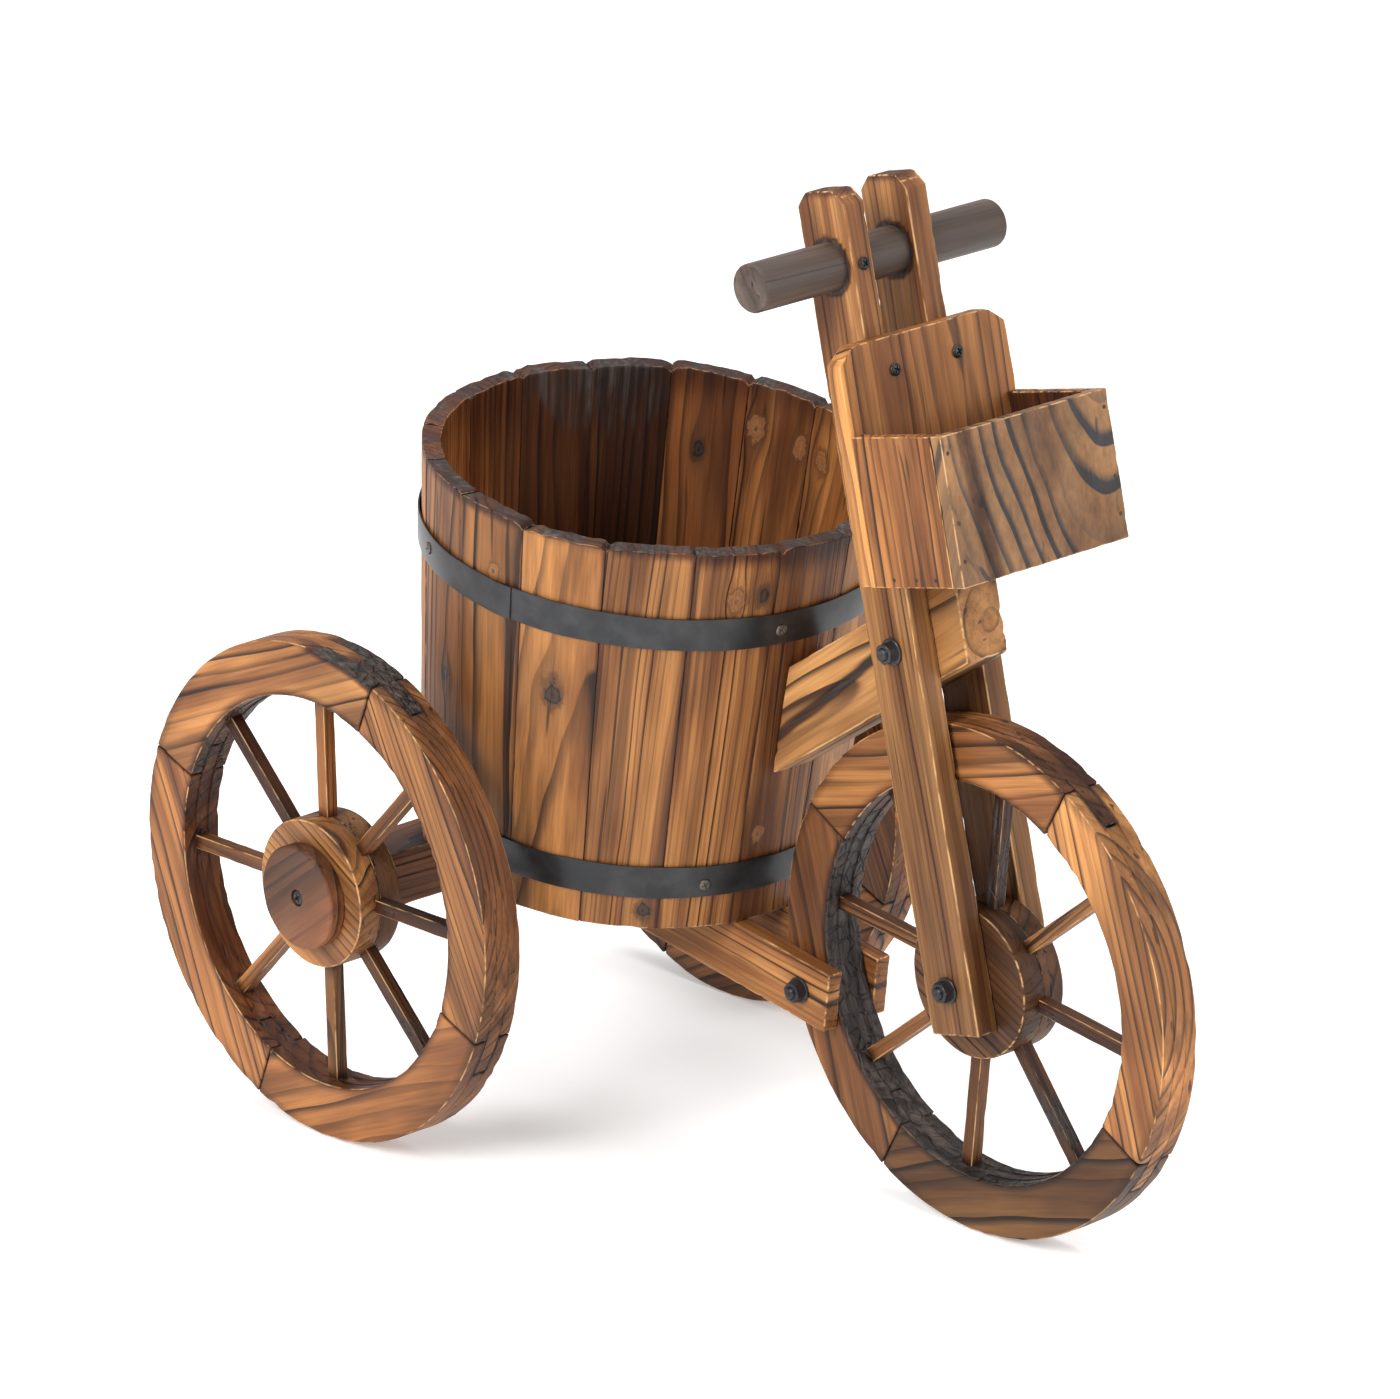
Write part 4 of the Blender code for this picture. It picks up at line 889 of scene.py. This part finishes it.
# felloes 1 to 4 stand at the top, the front, the bottom and the back of a wheel
for prefix, side, seed in (("rear_wheel_right", -1, 500), ("rear_wheel_left", 1, 600)):
    axle = REAR_AXLE + Vector((side * TRACK / 2, 0, 0))
    make_wheel(prefix, axle, 0, prefix, seed, [(0.35, 0.1), (0.0, 0.15), (0.0, 0.3), (0.1, 0.3)],
               [0.7, 0.5, 0.55, 0.5], [0.8, 1.1, 0.6, 0.8], 0.9)
    # the last argument names the hub disc that faces the axle beam, darkened as painted shade
    make_hub(f"{prefix}_hub", f"{prefix}_hub_with_spokes", axle, 0, 2.9 * MM, seed + 60, prefix, (0.2, 0.0), 0.0,
             [0.4, 0.2, -1.0, -1.2, -0.5, 0.1, -0.3, -1.2], 1 if side < 0 else 0)
    inner = HUB_WIDTH / 2 + GAP
    outer = inner + CAP_WIDTH
    sink = 4.7 * MM
    corners = [(inner, 2.9 * MM, 0.2 * MM), (inner, CAP_RADIUS, 0.6 * MM), (outer, CAP_RADIUS, 0.9 * MM),
               (outer, sink, 0.3 * MM), (outer - 2.3 * MM, sink, 0.2 * MM), (outer - 2.3 * MM, 2.9 * MM, 0.2 * MM)]
    p, quads, edge = grid_turned(eased(corners, 0.5 * MM), 72, seed + 70, 0.5 * MM)
    flat = np.stack([p[:, 1] * 0.8 - p[:, 2] * 0.6, p[:, 1] * 0.6 + p[:, 2] * 0.8, p[:, 0]], -1)
    p[:, 0] *= side
    Piece(f"{prefix}_hub_cap").add(p + np.array(axle), quads, edge * 0.5, log_place(flat, seed + 71, ring=0.5),
                                   (0.75 - 0.9 * smooth(flat[:, 1], -0.014, 0.002), 0.35), 0.1).make(
        BURNT, prefix, [f"{prefix}_cap"], "burnt_fir")
    at = axle + Vector((side * (outer - 2.0 * MM), 0, 0))
    make_heads(f"{prefix}_axle_screw", [(at, (side, 0, 0), 0.5)], 4.3 * MM, 1.9 * MM, BLACK, "frame",
               [f"{prefix}_screw"], "black_steel")

FRONT_TURN = radians(7.5)
make_wheel("front_wheel", FRONT_AXLE, FRONT_TURN, "frame", 700,
           [(0.2, 0.2), (0.75, 0.0), (-1.15, 0.0), (-0.3, 0.2)], [0.6, 0.2, 0.85, 1.0], [1.0, 0.8, 0.5, 0.6], 0.4)
make_hub("front_wheel_hub", "front_wheel_hub_with_spokes", FRONT_AXLE, FRONT_TURN, 3.3 * MM, 760, "frame", (-1.6, 0.3),
         0.15, [-1.2, -0.3, -1.1, -1.0, -0.5, -0.6, -0.7, -0.9])


# ---------------------------------------------------------------- handlebar, bolts, screws, nails

half_bar = HANDLE_LENGTH / 2
corners = [(-half_bar, 0.4 * MM, 0.1 * MM), (-half_bar, HANDLE_RADIUS, 1.4 * MM), (half_bar, HANDLE_RADIUS, 1.4 * MM),
           (half_bar, 0.4 * MM, 0.1 * MM)]
profile = eased(corners, 0.5 * MM)
body_rings = [(x, HANDLE_RADIUS, 0) for x in np.linspace(-half_bar + 4 * MM, half_bar - 4 * MM, 24)]
profile = profile[:10] + body_rings + profile[10:]
p, quads, edge = grid_turned(profile, 48, 31, 0.25 * MM)
bar = place(FORK, p + np.array([0, 0, HANDLE_UP]))
Piece("handlebar_dowel").add(bar, quads, edge * 0.25, log_place(p, 33, ring=1.0), (0.1, 0.1), 0.2).make(
    DOWEL, "frame", ["handlebar"], "dowel")


def make_bolt(name, matrix, grip_half):
    """A flanged bolt from +X, and its flanged nut with the bolt's end standing out of it at -X."""
    seat = grip_half + GAP
    p, quads, edge = grid_hex(10 * MM, seat, seat + 1.3 * MM + 4 * MM, 6.9 * MM, 1.3 * MM)
    bolt = Piece(f"{name}_hex_bolt").add(place(matrix, p), quads, edge)
    tip = seat + 1.3 * MM + 5 * MM + 1.5 * MM
    threads = []
    x = -tip
    threads += [(x, 0.3 * MM, 0), (x, 2.3 * MM, 0), (x + 0.4 * MM, 2.8 * MM, 0)]
    x += 0.6 * MM
    while x < -seat + 1 * MM:
        threads += [(x, 2.95 * MM, 0), (x + 0.25 * MM, 2.95 * MM, 0), (x + 0.5 * MM, 2.55 * MM, 0),
                    (x + 0.75 * MM, 2.55 * MM, 0)]
        x += 1 * MM
    threads += [(x, 2.9 * MM, 0), (seat, 2.9 * MM, 0), (seat, 0.3 * MM, 0)]
    p, quads, edge = grid_turned(threads, 32)
    bolt.add(place(matrix, p), quads, edge)
    bolt.make(BLACK, "frame", [f"{name}_bolt"], "black_steel", 30)
    p, quads, edge = grid_hex(10 * MM, seat, seat + 1.3 * MM + 5 * MM, 6.9 * MM, 1.3 * MM, 3.05 * MM)
    p[:, 0] *= -1
    Piece(f"{name}_hex_nut").add(place(matrix, p), quads, edge).make(BLACK, "frame", [f"{name}_nut"], "black_steel", 30)


leg_face = FORK_GAP / 2 + LEG_THICKNESS
make_bolt("front_axle", Matrix.Translation(FRONT_AXLE) @ Matrix.Rotation(0.35, 4, "X"), leg_face)
make_bolt("beam", FORK @ Matrix.Translation((0, 0, BEAM_BOLT_UP)) @ Matrix.Rotation(0.2, 4, "X"), leg_face)
make_bolt("rail", DECK @ Matrix.Translation((0, bolt_y, bolt_up)) @ Matrix.Rotation(0.6, 4, "X"),
          RIM_WIDTH / 2 + GAP + 9.5 * MM)

leg_middle = (FORK_GAP + LEG_THICKNESS) / 2
ahead = FORK.to_3x3() @ Vector((0, -1, 0))
for name, side in (("box_screw_right", -1), ("box_screw_left", 1)):
    at = FORK @ Vector((side * leg_middle, BOARD_FACE - GAP, BACKBOARD_TOP - 17 * MM))
    make_heads(f"{name}_head", [(at, ahead, side * 0.4)], 3.3 * MM, 1.8 * MM, BLACK, "frame", [name], "black_steel")
at = FORK @ Vector((-leg_middle, -half_leg - GAP, HANDLE_UP))
make_heads("handlebar_screw_head", [(at, ahead, 0.75)], 3.3 * MM, 1.7 * MM, BLACK, "frame", ["handlebar_screw"],
           "black_steel")

nails = []
for up in (13 * MM, 32 * MM, 67 * MM):
    for side in (-1, 1):
        nails.append((FORK @ Vector((side * (half_box - 3.6 * MM), front + 0.15 * MM, BOX_BOTTOM + up)), ahead, 0))
for side in (-1, 1):
    outward = FORK.to_3x3() @ Vector((side, 0, 0))
    for back in (12 * MM, 26 * MM, 42 * MM):
        nails.append((FORK @ Vector((side * (half_box - 0.15 * MM), front + PANEL + back, BOX_BOTTOM + 4 * MM)),
                      outward, 0))
make_heads("box_nails", nails, 1.1 * MM, 0.35 * MM, NAIL, slot="black_steel", recess=False)


# ---------------------------------------------------------------- floor, light, camera

def flat_material(name, colour, roughness):
    material = bpy.data.materials.new(name)
    material.use_nodes = True
    g = Graph(material)
    where = g.node("ShaderNodeTexCoord").outputs["Object"]
    cloud = g.noise(where, (3, 3, 3), 2)
    g.put(g.shader.inputs["Base Color"], g.mix(g.math("MULTIPLY", cloud, 0.05), colour, (1, 1, 1)))
    g.put(g.shader.inputs["Roughness"], roughness)
    g.put(g.shader.inputs["Emission Color"], (1, 1, 1, 1))
    g.put(g.shader.inputs["Emission Strength"], 0.3)
    return material


bm = bmesh.new()
bmesh.ops.create_circle(bm, cap_ends=True, segments=64, radius=14)
ground = bpy.data.meshes.new("floor")
bm.to_mesh(ground)
bm.free()
ground.materials.append(flat_material("pale_floor", (0.92, 0.92, 0.92), 0.9))
floor_plane = bpy.data.objects.new("floor", ground)
floor_plane.location.z = -0.0005
bpy.context.scene.collection.objects.link(floor_plane)

world = bpy.data.worlds.new("studio")
bpy.context.scene.world = world
world.use_nodes = True
world.node_tree.nodes["Background"].inputs[0].default_value = (1, 1, 1, 1)
world.node_tree.nodes["Background"].inputs[1].default_value = 0.5


def softbox(name, at, size, power, aim=(0, 0, 0.22)):
    lamp = bpy.data.lights.new(name, "AREA")
    lamp.shape = "RECTANGLE"
    lamp.size, lamp.size_y = size
    lamp.energy = power
    thing = bpy.data.objects.new(name, lamp)
    thing.location = at
    thing.rotation_mode = "QUATERNION"
    thing.rotation_quaternion = (Vector(aim) - Vector(at)).to_track_quat("-Z", "Y")
    bpy.context.scene.collection.objects.link(thing)


softbox("key", (-2.2, -0.4, 1.7), (1.2, 1.2), 60)
softbox("fill", (1.0, -2.6, 1.3), (1.4, 1.0), 34)
softbox("top", (0.2, 0.3, 2.4), (1.8, 1.8), 38)

scene = bpy.context.scene
scene.view_settings.view_transform = "Standard"
camera = bpy.data.cameras.new("camera")
camera.sensor_width = 36
camera.lens = 8680.7 / 1400 * 36
camera.clip_end = 50
viewer = bpy.data.objects.new("camera", camera)
scene.collection.objects.link(viewer)
azimuth, elevation, roll = radians(-42.3), radians(18.68), radians(-1.31)
back = Vector((sin(azimuth) * cos(elevation), -cos(azimuth) * cos(elevation), sin(elevation)))
level = Vector((cos(azimuth), sin(azimuth), 0))
upright = back.cross(level)
right = cos(roll) * level + sin(roll) * upright
up = cos(roll) * upright - sin(roll) * level
viewer.matrix_world = Matrix.Translation((-2.86089, -3.10321, 1.66984)) @ Matrix((right, up, back)).transposed().to_4x4()
scene.camera = viewer
